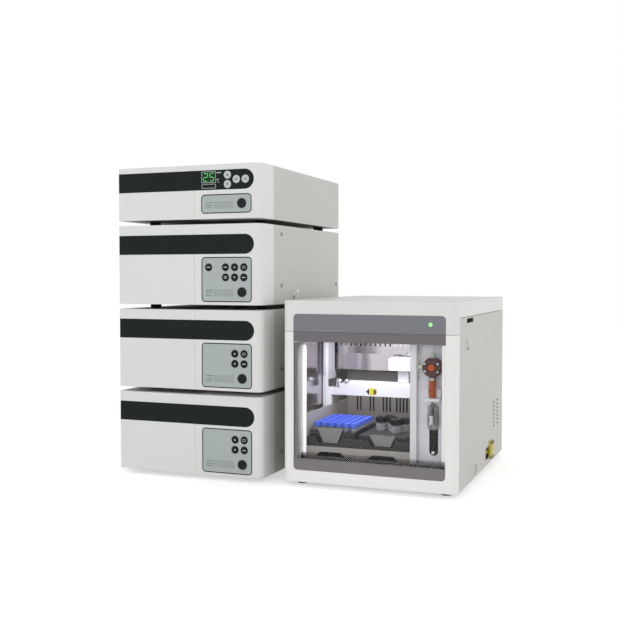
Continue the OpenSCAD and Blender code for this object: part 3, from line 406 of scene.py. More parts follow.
for finish, members in wears.items():
    for member in members:
        for holder in nodes[member].material_slots:
            holder.material = finishes[finish]


# ---- keypads: printed rim, key faces with plain signs, and rows of small marks

inkProud = -0.06      # how far print stands in front of its film

filmPlan = {"left": 203, "right": 319, "corner": 8, "edge": 0.2, "rim": 2.3,
            "tall": (6, 100), "low": (11, 51)}


def filmRim(unit, low, high):
    left, right, corner = filmPlan["left"], filmPlan["right"], filmPlan["corner"]
    edge, rim = filmPlan["edge"], filmPlan["rim"]
    outer = roundRect(left + edge, low + edge, right - edge, high - edge, corner)
    inner = roundRect(left + rim, low + rim, right - rim, high - rim, corner - rim)
    return bandPrint(outer, inner, inkProud, placeOn(unit))


marks = {"left": 233, "columns": 7, "step": 6.6, "size": (4.3, 3.6), "line": 0.6, "rows": 3, "rowStep": 5.2,
         "noteLeft": 213, "noteWidth": 17, "noteHeight": 1.5, "noteUp": 0.9,
         "tallBase": 18.5, "lowBase": 21.5}


def markRows(unit, base):
    # a grid of little frames, and a short bar on the left of each row
    place = placeOn(unit)
    w, h = marks["size"]
    line = marks["line"]
    shapes = []
    for row in range(marks["rows"]):
        for column in range(marks["columns"]):
            x = marks["left"] + column * marks["step"]
            z = base + row * marks["rowStep"]
            shapes.append(bandPrint(roundRect(x, z, x + w, z + h, 0.5, 3),
                                    roundRect(x + line, z + line, x + w - line, z + h - line, 0.2, 3),
                                    inkProud, place))
    for row in range(marks["rows"]):
        z = base + marks["noteUp"] + row * marks["rowStep"]
        wide = marks["noteWidth"] * (0.8 if row == 0 else 1)
        shapes.append(flatPrint(roundRect(marks["noteLeft"], z, marks["noteLeft"] + wide,
                                          z + marks["noteHeight"], 0.3, 3), inkProud, place))
    return gather(shapes)


keys = {"step": 21, "x": 280, "z": 57.5, "radius": 8.25, "top": -0.92,
        "sign": 2.3, "signProud": 0.04, "line": 0.7}


def barSign(x, z, wide, high, place):
    outline = roundRect(x - wide, z - high, x + wide, z + high, 0.2, 3)
    return flatPrint(outline, keys["top"] - keys["signProud"], place)


def sign(kind, x, z, place):
    # a plain arrow head, a bar, two bars or a frame, drawn on a key's face
    y, size, line = keys["top"] - keys["signProud"], keys["sign"], keys["line"]
    if kind == "up":
        outline = np.array([[x - size, z - size * 0.7], [x + size, z - size * 0.7], [x, z + size]])
        return [flatPrint(outline, y, place)]
    if kind == "down":
        outline = np.array([[x - size, z + size * 0.7], [x, z - size], [x + size, z + size * 0.7]])
        return [flatPrint(outline, y, place)]
    if kind == "bar":
        return [barSign(x, z, size * 1.7, size * 0.35, place)]
    if kind == "bars":
        return [barSign(x, z + lift, size * 1.6, size * 0.28, place) for lift in (-size * 0.6, size * 0.6)]
    wide = size * 1.5
    outer = roundRect(x - wide, z - size, x + wide, z + size, 0.7, 4)
    inner = roundRect(x - wide + line, z - size + line, x + wide - line, z + size - line, 0.3, 4)
    return [bandPrint(outer, inner, y, place)]


def keyCover(x, z, place):
    # skirt and shallow dome drawn over a key's disc: the front falls away with the radius squared
    share = np.array([1.0, 1.0, 0.99, 0.95, 0.82, 0.6, 0.3])
    y = np.array([0.0, -0.42, -0.52, 0, 0, 0, 0])
    y[3:] = keys["top"] + 0.36 * share[3:] ** 2
    return revolve(np.stack([keys["radius"] * share, y], -1), (x, 0, z), "y", place, 32)


darkKeys = {
    "detector": [(-60 / 21, 1, "bar"), (-1, 1, "bar"), (-1, 0, "bars"), (0, 1, "up"), (0, 0, "down"),
                 (1, 1, "frame"), (1, 0, "bar")],
    "upperPump": [(0, 1, "up"), (0, 0, "down"), (1, 1, "frame"), (1, 0, "bar")],
    "lowerPump": [(0, 1, "up"), (0, 0, "down"), (1, 1, "frame"), (1, 0, "bar")],
}
paleKeys = [(264.3, 90.1, "up"), (264.3, 70.9, "down"), (284.6, 80.5, "bar"), (305, 80.5, "frame")]


def keyFaces(unit):
    place = placeOn(unit)
    faces, signs = [], []
    for column, row, kind in darkKeys[unit]:
        x = keys["x"] + column * keys["step"]
        z = keys["z"] + row * keys["step"]
        faces.append(keyCover(x, z, place))
        signs += sign(kind, x, z, place)
    return gather(faces), gather(signs)


for unit in darkKeys:
    low, high = filmPlan["tall"]
    putMesh(unit + "KeypadRim", *filmRim(unit, low, high), finishes["inkDark"], "housings", "grey_film")
    putMesh(unit + "KeypadMarks", *markRows(unit, marks["tallBase"]),
            finishes["inkFaint"], "housings", "grey_film")
    faces, signs = keyFaces(unit)
    putMesh(unit + "KeyFaces", *faces, finishes["keyFace"], "housings", "grey_film", smooth=True)
    putMesh(unit + "KeySigns", *signs, finishes["inkPale"], "housings", "grey_film")

ovenPlace = placeOn("oven")
low, high = filmPlan["low"]
putMesh("ovenKeypadRim", *filmRim("oven", low, high), finishes["inkDark"], "housings", "grey_film")
putMesh("ovenKeypadMarks", *markRows("oven", marks["lowBase"]),
        finishes["inkFaint"], "housings", "grey_film")
putMesh("ovenKeyFaces", *gather([keyCover(x, z, ovenPlace) for x, z, kind in paleKeys]),
        finishes["keyPale"], "housings", "grey_film", smooth=True)
putMesh("ovenKeySigns", *gather(sum([sign(kind, x, z, ovenPlace) for x, z, kind in paleKeys], [])),
        finishes["inkBlack"], "housings", "grey_film")
print("keypads dressed")


# ---- temperature display: two seven-segment digits behind the lens, a thin frame and small marks

digitPlan = {"left": 208.6, "base": 78.4, "width": 9.2, "height": 16.0, "bar": 1.6, "step": 14.4,
             "lean": 0.06, "proud": -0.36}
segments = {  # end points of each bar in shares of the digit's width and height
    "top": ((0, 1), (1, 1)), "middle": ((0, 0.5), (1, 0.5)), "bottom": ((0, 0), (1, 0)),
    "upLeft": ((0, 0.5), (0, 1)), "upRight": ((1, 0.5), (1, 1)),
    "lowLeft": ((0, 0), (0, 0.5)), "lowRight": ((1, 0), (1, 0.5)),
}
digitBars = {2: ["top", "upRight", "middle", "lowLeft", "bottom"],
             5: ["top", "upLeft", "middle", "lowRight", "bottom"]}


def segmentShape(start, end, left, y):
    # a long hexagon from start to end, its two tips pointed
    plan = digitPlan
    size = np.array([plan["width"], plan["height"]])
    a, b = np.array(start) * size, np.array(end) * size
    along = (b - a) / np.linalg.norm(b - a)
    across = np.array([-along[1], along[0]]) * plan["bar"] / 2
    a, b = a + along * 0.5, b - along * 0.5
    inset = along * plan["bar"] / 2
    near, far = a + inset, b - inset
    outline = np.stack([a, near - across, far - across, b, far + across, near + across])
    x = left + outline[:, 0] + outline[:, 1] * plan["lean"]
    return flatPrint(np.stack([x, plan["base"] + outline[:, 1]], -1), y, ovenPlace)


def litDigits(values):
    left, step, proud = digitPlan["left"], digitPlan["step"], digitPlan["proud"]
    return gather([segmentShape(*segments[bar], left + i * step, proud)
                   for i, value in enumerate(values) for bar in digitBars[value]])


displayTrim = {"lens": (204.4, 74.8, 237.4, 98.4), "lensProud": -0.66, "note": (204.7, 63.4, 237.3, 72.4),
               "line": 0.8, "degree": (240.0, 81.4), "arc": (243.6, 78.6), "dash": (239, 94.4, 250, 96.2)}


def thinFrame(corners, y):
    x0, z0, x1, z1 = corners
    line = displayTrim["line"]
    inner = roundRect(x0 + line, z0 + line, x1 - line, z1 - line, 0.8, 4)
    return bandPrint(roundRect(x0, z0, x1, z1, 1.2, 4), inner, y, ovenPlace)


def openArc(x, z, radius, width, place):
    # the unit's C: an arc open to the right, from 50 to 310 degrees
    turn = np.radians(np.linspace(50, 310, 18))
    ring = np.stack([np.stack([x + r * np.cos(turn), z + r * np.sin(turn)], -1)
                     for r in (radius + width / 2, radius - width / 2)])
    n = len(turn)
    faces = [[i, i + 1, n + i + 1, n + i] for i in range(n - 1)]
    return place(ring[..., 0], inkProud, ring[..., 1]), faces


putMesh("displayDigits", *litDigits([2, 5]), finishes["digitGreen"], "housings", "green_display")
putMesh("displayFrames", *gather([
    thinFrame(displayTrim["lens"], displayTrim["lensProud"]),
    thinFrame(displayTrim["note"], inkProud),
    bandPrint(circle(*displayTrim["degree"], 1.2, 12), circle(*displayTrim["degree"], 0.6, 12),
              inkProud, ovenPlace),
    openArc(*displayTrim["arc"], 3.3, 0.75, ovenPlace),
    flatPrint(roundRect(*displayTrim["dash"], 0.3, 3), inkProud, ovenPlace),
]), finishes["inkPale"], "housings", "dark_band")
print("display dressed")


# ---- autosampler door print: solid grey bands and the dotted edges

panePlan = {"left": 23, "right": 337, "bottom": 24.4, "top": 305.4, "corner": 8, "topBand": 286,
            "lowBand": 47.8, "margin": 31.2, "proud": -0.05, "marginProud": -0.03,
            "dotPitch": 4.2, "dotLeft": 42, "dotBottom": 62, "small": 1.05, "large": 1.75}


def bandOutline(z0, z1, lowCorners):
    # the band's lower corners follow the pane's; the others are square
    plan = panePlan
    radius = plan["corner"] if lowCorners else 0.01
    arc = np.linspace(0, math.pi / 2, 10)
    leftCentre, rightCentre, z = plan["left"] + radius, plan["right"] - radius, z0 + radius
    left = np.stack([leftCentre - radius * np.cos(arc), z - radius * np.sin(arc)], -1)
    right = np.stack([rightCentre + radius * np.sin(arc), z - radius * np.cos(arc)], -1)
    return np.concatenate([[[plan["left"], z1]], left, right, [[plan["right"], z1]]])


def dotField(x0, x1, z0, z1):
    # staggered rows: every other row is moved half a step sideways
    pitch = panePlan["dotPitch"]
    rows = np.arange(z0, z1, pitch * 0.5)
    columns = np.arange(x0, x1, pitch)
    z, x = np.meshgrid(rows, columns, indexing="ij")
    x = x + (np.arange(len(rows)) % 2)[:, None] * pitch / 2
    return np.stack([x, z], -1).reshape(-1, 2)


def fading(centres):
    # a dot shrinks evenly from its band to the edge of the dotted margin
    plan = panePlan
    fromLeft = (centres[:, 0] - plan["left"]) / (plan["dotLeft"] - plan["left"])
    fromLow = (centres[:, 1] - plan["lowBand"]) / (plan["dotBottom"] - plan["lowBand"])
    share = np.clip(np.minimum(fromLeft * 0.9, fromLow), 0, 1)
    return plan["large"] + (plan["small"] - plan["large"]) * share


plan = panePlan
topOutline = bandOutline(plan["topBand"], plan["top"], False)
lowOutline = bandOutline(plan["bottom"], plan["lowBand"], True)
putMesh("paneTopBand", *flatPrint(topOutline, plan["proud"], onSampler),
        finishes["paneDark"], "sampler_door", "smoked_pane")
putMesh("paneLowBand", *flatPrint(lowOutline, plan["proud"], onSampler),
        finishes["paneGrey"], "sampler_door", "smoked_pane")
# pale print under the margin's dots: painted light, showing the white frame behind the pane as brightly lit
# where the pane and its dots leave it in shade
litMarginOutline = roundRect(plan["left"] + 0.2, plan["lowBand"], plan["margin"], plan["topBand"], 0.1, 2)
putMesh("paneMarginPaintedLight", *flatPrint(litMarginOutline, plan["marginProud"], onSampler),
        finishes["frameWhite"], "sampler_door", "smoked_pane")
dots = np.concatenate([
    dotField(plan["left"] + 1.6, plan["dotLeft"], plan["lowBand"] + 1, plan["topBand"] - 1),
    dotField(plan["dotLeft"] + 1.2, plan["right"] - 2, plan["lowBand"] + 1, plan["dotBottom"]),
])
putMesh("paneDots", *dotPrint(dots, fading(dots)[:, None], 8, plan["proud"], onSampler),
        finishes["inkBlack"], "sampler_door", "smoked_pane")
print("pane printed:", len(dots), "dots")


# ---- light strip behind the dotted margin, and the plate beside the needle drive's post

strip = {"x": 34.2, "back": 25.9, "half": 6.4, "bulge": 3.4, "low": 50, "high": 284,
         "socket": 6.4, "socketDeep": 4.2, "covered": 6}


def lightStrip():
    # the lens is a half ellipse swept upwards: x is half times cosine, y is back less bulge times sine
    turn = np.linspace(0, math.pi, 14)
    x = strip["x"] + strip["half"] * np.cos(turn)
    y = strip["back"] - strip["bulge"] * np.sin(turn)
    z = np.array([strip["low"] + strip["covered"], strip["high"] - strip["covered"]])
    points = onSampler(np.stack([x, x]), np.stack([y, y]), z[:, None] + 0 * x)
    return points, ringFaces(2, len(turn)) + endFaces(2, len(turn))


def stripSocket(low, high):
    reach = strip["half"] + 0.5
    outline = roundRect(strip["x"] - reach, low, strip["x"] + reach, high, 1.2, 4)
    return slab(outline, strip["back"] - strip["socketDeep"], strip["back"], onSampler, 0.8)


putMesh("stripLens", *lightStrip(), finishes["stripWhite"], "housings", "warm_grey_sheet", smooth=True)
putMesh("stripSockets", *gather([stripSocket(strip["low"], strip["low"] + strip["socket"]),
                                 stripSocket(strip["high"] - strip["socket"], strip["high"])]),
        finishes["innerWhite"], "housings", "warm_grey_sheet")


flange = {"front": 25.2, "back": 25.95, "corner": 0.8, "post": (261, 47, 273.4, 287),
          "right": (326.6, 50, 331, 287), "top": (273.6, 285, 326.4, 288), "low": (273.6, 46.4, 326.4, 49.6)}


def flangeCover(side):
    # thin cover on the painted flange that shows through the pane
    outline = roundRect(*flange[side], flange["corner"], 3)
    return slab(outline, flange["front"], flange["back"], onSampler, 0.3)


putMesh("flangeCovers", *gather([flangeCover(side) for side in ("post", "right", "top", "low")]),
        finishes["panelWhite"], "housings", "warm_grey_sheet")


post = {"left": 24.6, "right": 26.4,
        "outline": [(170, 206), (170, 283.4), (238, 283.4), (238, 210),
                    (246, 196), (250, 188), (222, 188), (200, 188)]}
putMesh("postPlate", *sidePlate(np.array(post["outline"]), post["left"], post["right"], onSampler),
        finishes["plateGrey"], "housings", "white_moulding")
print("strip and post plate made")


# ---- beam: yellow mark with a dark arrow head, and domes on the two nuts

mark = {"front": 194.93, "ink": 194.88, "tip": 115.2, "neck": 121.4, "end": 139.6, "middle": 165.0,
        "half": 7.6, "corner": 4, "dot": (110.4, 164.3), "dotRadius": 0.9,
        "patch": (131.6, 160.0, 138.6, 170.0)}


def markPlate():
    # straight sides between the arrow's neck and a round right end
    neck, middle, half, corner = mark["neck"], mark["middle"], mark["half"], mark["corner"]
    turn = np.linspace(-math.pi / 2, math.pi / 2, 12)
    rightEnd = np.stack([mark["end"] - corner + corner * np.cos(turn), middle + half * np.sin(turn)], -1)
    outline = np.concatenate([[[neck, middle + half], [neck, middle - half]], rightEnd])
    return flatPrint(outline, mark["front"], onSampler)


def markArrow():
    x, z, h = mark["neck"], mark["middle"], mark["half"] - 0.4
    stem = x + 0.8
    outline = np.array([[mark["tip"], z], [x, z - h], [stem, z - h * 0.4], [stem, z + h * 0.4], [x, z + h]])
    return flatPrint(outline, mark["ink"], onSampler)


putMesh("beamMark", *markPlate(), finishes["markYellow"], "housings", "white_moulding")
putMesh("beamMarkInk", *gather([
    markArrow(),
    flatPrint(circle(*mark["dot"], mark["dotRadius"], 14), mark["front"], onSampler),
]), finishes["inkBlack"], "housings", "white_moulding")
putMesh("beamMarkBlock", *flatPrint(roundRect(*mark["patch"], 1.4, 4), mark["ink"], onSampler),
        finishes["markBrown"], "housings", "white_moulding")

nuts = {"tall": (50, 203, 171, 7.5, 13), "short": (69, 199.5, 181, 5, 5)}      # x, y, z, radius, height


def domeNut(x, y, z, radius, high):
    # hexagonal skirt under a dome, just outside the plain nut
    skirt = [(radius + 0.5, 0.05), (radius + 0.7, 1.0), (radius + 0.7, high - 1.5), (radius + 0.25, high)]
    arc = np.linspace(0.1, math.pi / 2 - 0.12, 7)
    dome = np.stack([(radius + 0.2) * np.cos(arc), high + (radius + 0.2) * np.sin(arc)], -1)
    return revolve(np.concatenate([skirt, dome]), (x, y, z), "z", onSampler, 30, 6, 0.12)


putMesh("beamNuts", *gather([domeNut(*nuts["tall"]), domeNut(*nuts["short"])]),
        finishes["polished"], "housings", "polished_steel", smooth=True)
print("needle drive dressed")


# ---- racks: smoke-grey handle plates, and the shade behind the slots of the rear wall

handles = {"front": 39.8, "back": 43.1, "ease": 0.7,
           "left": [(73, 75.2), (104, 75.2), (116, 107.8), (59, 107.8)],
           "right": [(184, 75.2), (216, 75.2), (227, 98.8), (171, 98.8)]}
slotPlan = {"outline": (50, 102, 200, 164), "front": 302.3, "back": 303.3}


def handlePlate(corners):
    # each side is cut into short steps so that its eased edge follows it
    corners = np.array(corners, float)
    t = np.linspace(0, 1, 6, endpoint=False)[:, None]
    sides = [a + (b - a) * t for a, b in zip(corners, np.roll(corners, -1, 0))]
    return slab(np.concatenate(sides), handles["front"], handles["back"], onSampler, handles["ease"])


slotOutline = roundRect(*slotPlan["outline"], 1, 3)
putMesh("slotShade", *slab(slotOutline, slotPlan["front"], slotPlan["back"], onSampler, 0.3),
        finishes["slotBlack"], "housings", "grey_lining")
putMesh("rackHandles", *gather([handlePlate(handles["left"]), handlePlate(handles["right"])]),
        finishes["rackSmoke"], "tray", "dark_grey_plastic")


# ---- syringe bay: cap and screws of the valve, nuts, tubes, sleeve, studs and the clear block

valve = {"x": 306, "y": 22, "z": 241, "front": 11.2, "back": 16.2, "radius": 18.1, "hole": 6.9, "points": 48,
         "screws": [(292.4, 248.3), (318.6, 248.6), (318.6, 233.2), (293.2, 233.8)]}


def valveCap():
    # turned ring: outer wall, sloped edge, flat front, and the bore round the hub
    r, hole, y, back = valve["radius"], valve["hole"], valve["front"], valve["back"]
    profile = np.array([(r, back), (r, y + 1.2), (r - 1.0, y + 0.2), (r - 2.0, y),
                        (hole + 1.0, y), (hole, y + 0.6), (hole, back)])
    turn = np.arange(valve["points"]) * 2 * math.pi / valve["points"]
    points = onSampler(valve["x"] + profile[:, :1] * np.cos(turn), profile[:, 1:] + 0 * turn,
                       valve["z"] + profile[:, :1] * np.sin(turn))
    return points, ringFaces(len(profile), valve["points"], closedRings=True)


def screwDome(x, z, y, radius=2.1, high=1.3):
    arc = np.linspace(0, math.pi / 2 - 0.15, 6)
    profile = np.concatenate([[(radius, 0.3)], np.stack([radius * np.cos(arc), -high * np.sin(arc)], -1)])
    return revolve(profile, (x, y, z), "y", onSampler, 18)


putMesh("valveCap", *valveCap(), finishes["amberValve"], "housings", "amber_valve")
# the x of each stud, and its height, depth, radius and dome
studs = {"ledgeAt": (292.9, 298.9, 305.5, 315.2), "ledge": (180.4, 13.9, 1.9, 1.6),
         "plateAt": (295.6, 316.4), "plate": (193.6, 24.2, 2.3, 0.9), "slot": (303.6, 70.3, 38.1, 4.0, 1.2)}
putMesh("syringeScrews", *gather(
    [screwDome(x, z, valve["front"]) for x, z in valve["screws"]]
    + [screwDome(x, *studs["ledge"]) for x in studs["ledgeAt"]]
    + [screwDome(x, *studs["plate"]) for x in studs["plateAt"]]
    + [screwDome(*studs["slot"])]),
    finishes["polished"], "housings", "polished_steel", smooth=True)

valveCentre = (valve["x"], valve["y"], valve["z"])
nutProfile = [(4.75, 18.0), (4.95, 18.4), (4.95, 22.8), (4.3, 23.2), (4.2, 23.4), (3.6, 28.0),
              (3.2, 28.6), (1.2, 28.9)]      # radius and distance from the valve's centre
putMesh("sideNut", *revolve([(r, -d) for r, d in nutProfile], valveCentre, "x", onSampler, 36, 12, 0.12),
        finishes["ivoryNut"], "housings", "amber_valve", smooth=True)
putMesh("topNut", *revolve(nutProfile, valveCentre, "z", onSampler, 36, 12, 0.12),
        finishes["clearNut"], "housings", "amber_valve", smooth=True)

tubeRuns = [[(277.6, 22, 241.2), (276.4, 22.2, 247), (276.2, 23.5, 262), (278.6, 26, 274), (284, 30, 283)],
            [(277.6, 22, 240.6), (276.6, 22.4, 236), (276.4, 24, 228), (276.2, 30, 219), (276.2, 33.8, 216)],
            [(306, 22, 269.2), (306.2, 22.2, 272), (307.6, 24, 278), (311, 29, 283.6), (314, 32, 286)]]
tubeRadius = 0.85
putMesh("capillaries", *gather([sweepTube(smoothPath(run), tubeRadius, onSampler) for run in tubeRuns]),
        finishes["clearNut"], "housings", "amber_valve", smooth=True)

sleeve = [(6.75, 181.1), (6.95, 181.6), (6.95, 214.4), (6.75, 214.9)]
putMesh("amberSleeve", *revolve(sleeve, (305.8, 22.2, 0), "z", onSampler, 32),
        finishes["amberTube"], "housings", "amber_tube", smooth=True)
collar = [(4.6, 214.8), (5.6, 215.3), (5.6, 220.2), (4.6, 220.8)]
putMesh("sleeveCollar", *revolve(collar, (305.8, 21.6, 0), "z", onSampler, 32),
        finishes["ivoryNut"], "housings", "amber_tube", smooth=True)
slotBack = {"outline": (294.5, 63.5, 317.5, 170.5), "corner": 9, "front": 38.2, "back": 39.4}
backOutline = roundRect(*slotBack["outline"], slotBack["corner"], 6)
putMesh("slotBacking", *slab(backOutline, slotBack["front"], slotBack["back"], onSampler, 0.3),
        finishes["slotBlack"], "housings", "white_moulding")


# slabs: outline, corner radius, points per corner, front, back and ease; rod and knob: radius and height
plunger = {"block": ((295.4, 118, 316.6, 167.4), 5, 6, 23.9, 32.1, 1.2),
           "clamp": ((296.4, 130.6, 316.2, 149.2), 2.5, 5, 21.4, 24.2, 1.0),
           "tail": ((301, 119, 311, 133), 3, 5, 31, 37, 0.4),
           "rod": [(2.3, 138), (2.3, 201.8), (3.1, 202.2), (3.14, 205.9), (2.4, 206.2)],
           "knob": [(4.2, 129.6), (6.2, 130.2), (6.5, 131.4), (5.4, 133.0), (5.4, 144.2), (6.5, 145.6),
                    (6.2, 147.0), (2.6, 147.6)],
           "rodAt": (306, 22.5, 0), "knobAt": (304.6, 20.5, 0), "screw": (308.2, 126.5, 23.8, 2.0, 0.9)}


def plungerSlab(part):
    corners, radius, perCorner, front, back, ease = plunger[part]
    return slab(roundRect(*corners, radius, perCorner), front, back, onSampler, ease)


clearPiece = putMesh("plungerBlock", *plungerSlab("block"),
                     finishes["blockClear"], "plunger", "polished_steel")
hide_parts("syringe_plunger")
putMesh("plungerClamp", *plungerSlab("clamp"), finishes["greyBlock"], "plunger", "polished_steel")
rodPiece = putMesh("plungerRod", *gather([revolve(plunger["rod"], plunger["rodAt"], "z", onSampler, 28),
                                          revolve(plunger["knob"], plunger["knobAt"], "z", onSampler,
                                                  30, 10, 0.25),
                                          screwDome(*plunger["screw"])]),
                   finishes["knobSteel"], "plunger", "polished_steel", smooth=True)
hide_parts("syringe_plunger")
tailPiece = putMesh("plungerTail", *plungerSlab("tail"), finishes["greyBlock"], "plunger", "polished_steel")
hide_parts("syringe_plunger")
print("syringe bay dressed")


# ---- right sides: painted shade on the screws, a painted highlight along the seams, clamp ends and the wire hook

screwShadePlan = {"outer": 3.9, "inner": 3.2, "points": 20, "long": 2.4, "thin": 0.6, "proud": 0.02}
# where the sheet sides stand, and how far screw heads and straps stand out from them
sides = {"stack": 340, "sampler": 360, "head": 1.4, "strap": 2.6}
seam = {"front": 64.0, "back": 65.4, "low": 2.5, "inside": 0.1, "outside": 0.25}


def screwShade(y, z, x, place):
    # dark ring round a screw's face and a dark cross on it: painted shade of the head's rounded rim and of
    # its cross recess
    points, long, thin = screwShadePlan["points"], screwShadePlan["long"], screwShadePlan["thin"]
    ring = np.stack([circle(y, z, screwShadePlan[edge], points) for edge in ("outer", "inner")])
    x = x + screwShadePlan["proud"]
    shapes = [(place(x, ring[..., 0], ring[..., 1]), ringFaces(2, points))]
    for w, h in ((long, thin), (thin, long)):
        bar = np.array([(y - w, z - h), (y + w, z - h), (y + w, z + h), (y - w, z + h)])
        shapes.append((place(x, bar[:, 0], bar[:, 1]), [[0, 1, 2, 3]]))
    return shapes


def seamLipHighlight(unit):
    # pale lip where the moulded front overlaps the sheet cover; its white line over the joint is a painted
    # highlight on the edge
    low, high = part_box(units[unit] + "_fascia")
    top = (high.z - low.z) / mm - seam["low"]
    front, back, base = seam["front"], seam["back"], seam["low"]
    outline = np.array([(front, base), (back, base), (back, top), (front, top)])
    side = sides["stack"]
    return sidePlate(outline, side - seam["inside"], side + seam["outside"], placeOn(unit))


putMesh("seamLipHighlights", *gather([seamLipHighlight(unit) for unit in units]),
        finishes["whiteMoulding"], "housings", "white_moulding")
stackSpots = {"detector": [(105, 40), (105, 150), (451, 40)], "upperPump": [(105, 40), (451, 40)],
              "lowerPump": [(105, 40), (451, 40)]}
clipSpots = {"detector": (172, 13.5), "sampler": (90, 274.5)}
screwShades = []
for unit, spots in stackSpots.items():
    for y, z in spots:
        screwShades += screwShade(y, z, sides["stack"] + sides["head"], placeOn(unit))
screwShades += screwShade(*clipSpots["detector"], sides["stack"] + sides["strap"], placeOn("detector"))
screwShades += screwShade(*clipSpots["sampler"], sides["sampler"] + sides["strap"], onSampler)
# black ink on every side screw and on the two clip straps: painted shade
putMesh("screwShadeMarks", *gather(screwShades), finishes["inkBlack"], "housings", "polished_steel")


clamp = {"front": 331, "back": 363, "inside": 3.4, "outside": 5.9, "low": (9.5, 15), "high": (41, 46.6)}


def clampEnd(z0, z1):
    outline = roundRect(clamp["front"], z0, clamp["back"], z1, 2, 4)
    side = sides["sampler"]
    return sidePlate(outline, side + clamp["inside"], side + clamp["outside"], onSampler)


putMesh("clampEnds", *gather([clampEnd(*clamp["low"]), clampEnd(*clamp["high"])]),
        finishes["clampOlive"], "housings", "yellow_green_plastic")
hook = {"radius": 0.8, "path": [(359.9, 179.5, 25.6), (361.2, 179.5, 25.2), (361.6, 179.5, 20),
                                (361.6, 179.5, 13), (361.9, 172, 10.4), (361.9, 158, 8.8)]}
putMesh("wireHook", *sweepTube(smoothPath(hook["path"], 20), hook["radius"], onSampler, 8),
        finishes["screwSteel"], "housings", "polished_steel", smooth=True)
print("sides dressed")


# ---- backs: dark socket faces with three flat pins in the mains inlets

# depths are measured from the inlet frame's outer face
inlet = {"face": (51.4, 18.4, 78.6, 37.6), "corner": 3.6, "faceFront": -0.75, "faceBack": -1.35,
         "pins": [(65, 31), (59.5, 25.5), (70.5, 25.5)], "pinHalf": (0.9, 2.6),
         "pinFront": -0.1, "pinBack": -0.8}


def inletParts(chassis, left, base):
    place = lambda x, y, z: placed(x, y, z, left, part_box(chassis)[1].y, base)
    w, h = inlet["pinHalf"]
    outline = roundRect(*inlet["face"], inlet["corner"], 5)
    face = slab(outline, inlet["faceFront"], inlet["faceBack"], place, 0.4)
    pins = [slab(roundRect(x - w, z - h, x + w, z + h, 0.3, 3),
                 inlet["pinFront"], inlet["pinBack"], place, 0.2) for x, z in inlet["pins"]]
    return face, pins


inlets = [inletParts(name + "_chassis", stackLeft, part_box(name + "_fascia")[0].z)
          for name in units.values()]
inlets.append(inletParts("sampler_chassis", samplerLeft, samplerBase))
putMesh("inletFaces", *gather([face for face, pins in inlets]),
        finishes["slotBlack"], "housings", "black_rubber")
putMesh("inletPins", *gather(sum([pins for face, pins in inlets], [])),
        finishes["polished"], "housings", "polished_steel")
print("backs dressed")


# ---- floor, light and camera

def seenOnly(tree):
    # 1 for rays from the camera, mirrors and clear sheets, 0 for the rays that light the object
    path = tree.nodes.new("ShaderNodeLightPath")
    total = None
    for kind in ("Is Camera Ray", "Is Glossy Ray", "Is Transmission Ray"):
        if total is None:
            total = path.outputs[kind]
            continue
        larger = tree.nodes.new("ShaderNodeMath")
        larger.operation = "MAXIMUM"
        tree.links.new(total, larger.inputs[0])
        tree.links.new(path.outputs[kind], larger.inputs[1])
        total = larger.outputs["Value"]
    return total


def stageFloor(size=6, shade=0.92, lift=0.46):
    # the lift carries the lit floor to full white and leaves the object's shadow on it
    points = np.array([[-size, -size, 0], [size, -size, 0], [size, size, 0], [-size, size, 0]], float)
    made, shader = material("stageFloor", (shade, shade, shade), 0.95, shine=0.0)
    tree = made.node_tree
    scale = tree.nodes.new("ShaderNodeMath")
    scale.operation = "MULTIPLY"
    scale.inputs[1].default_value = lift
    tree.links.new(seenOnly(tree), scale.inputs[0])
    shader.inputs["Emission Color"].default_value = (1, 1, 1, 1)
    tree.links.new(scale.outputs["Value"], shader.inputs["Emission Strength"])
    mesh = bpy.data.meshes.new("stageFloor")
    mesh.from_pydata(points.tolist(), [], [[0, 1, 2, 3]])
    mesh.materials.append(made)
    floor = bpy.data.objects.new("stageFloor", mesh)
    bpy.context.scene.collection.objects.link(floor)


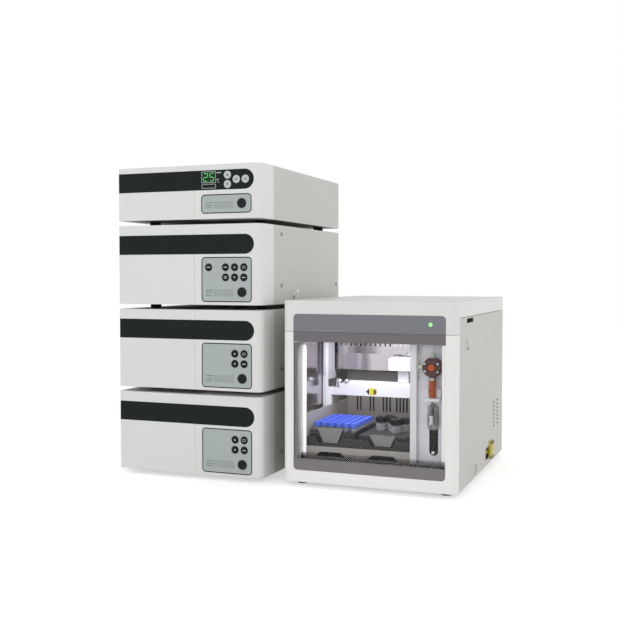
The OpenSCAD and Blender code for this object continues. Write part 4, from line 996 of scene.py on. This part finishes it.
def paleWorld(low, high):
    # light falls from low at the horizon to high overhead: strength = low + (high - low) * max(0, z)
    world = bpy.data.worlds.new("paleWorld")
    bpy.context.scene.world = world
    world.use_nodes = True
    tree = world.node_tree
    where = tree.nodes.new("ShaderNodeTexCoord")
    parts = tree.nodes.new("ShaderNodeSeparateXYZ")
    ramp = tree.nodes.new("ShaderNodeMapRange")
    ramp.inputs["To Min"].default_value = low
    ramp.inputs["To Max"].default_value = high
    tree.links.new(where.outputs["Generated"], parts.inputs[0])
    tree.links.new(parts.outputs["Z"], ramp.inputs["Value"])
    light = tree.nodes["Background"]
    light.inputs["Color"].default_value = (1, 1, 1, 1)
    tree.links.new(ramp.outputs["Result"], light.inputs["Strength"])
    seen = tree.nodes.new("ShaderNodeBackground")
    seen.inputs["Color"].default_value = (1, 1, 1, 1)
    seen.inputs["Strength"].default_value = 1.0
    mix = tree.nodes.new("ShaderNodeMixShader")
    tree.links.new(seenOnly(tree), mix.inputs["Fac"])
    tree.links.new(light.outputs["Background"], mix.inputs[1])
    tree.links.new(seen.outputs["Background"], mix.inputs[2])
    tree.links.new(mix.outputs["Shader"], tree.nodes["World Output"].inputs["Surface"])


def areaLight(name, place, target, size, power):
    data = bpy.data.lights.new(name, "AREA")
    data.energy = power
    data.size = size
    lamp = bpy.data.objects.new(name, data)
    bpy.context.scene.collection.objects.link(lamp)
    lamp.location = place
    toTarget = np.array(target) - np.array(place)
    away = math.hypot(toTarget[0], toTarget[1])
    lamp.rotation_euler = (math.atan2(away, -toTarget[2]), 0, math.atan2(-toTarget[0], toTarget[1]))


# each lamp: place, target, size and power; the bay lamp hangs under the roof of the sample space
lights = {"low": 1.44, "high": 0.28,
          "front": ((-0.5, -3.4, 0.8), (0, 0, 0.3), 2.4, 4.5),
          "side": ((3.2, -0.6, 0.9), (0.1, 0, 0.3), 2.0, 1.2),
          "bay": (tuple(onSampler(150, 110, 279)), tuple(onSampler(150, 120, 60)), 0.2, 0.52)}
stageFloor()
paleWorld(lights["low"], lights["high"])
for name in ("front", "side", "bay"):
    areaLight(name + "Light", *lights[name])

view = {"place": (0.74475, -1.97806, 0.42756), "down": 2.07, "turn": 21.35, "lens": 53.606, "sensor": 36}


def frontCamera():
    data = bpy.data.cameras.new("viewCamera")
    data.lens = view["lens"]
    data.sensor_width = view["sensor"]
    camera = bpy.data.objects.new("viewCamera", data)
    bpy.context.scene.collection.objects.link(camera)
    camera.location = view["place"]
    camera.rotation_euler = (math.radians(90 - view["down"]), 0, math.radians(view["turn"]))
    bpy.context.scene.camera = camera


frontCamera()
bpy.context.scene.view_settings.view_transform = "Standard"
print("stage ready")
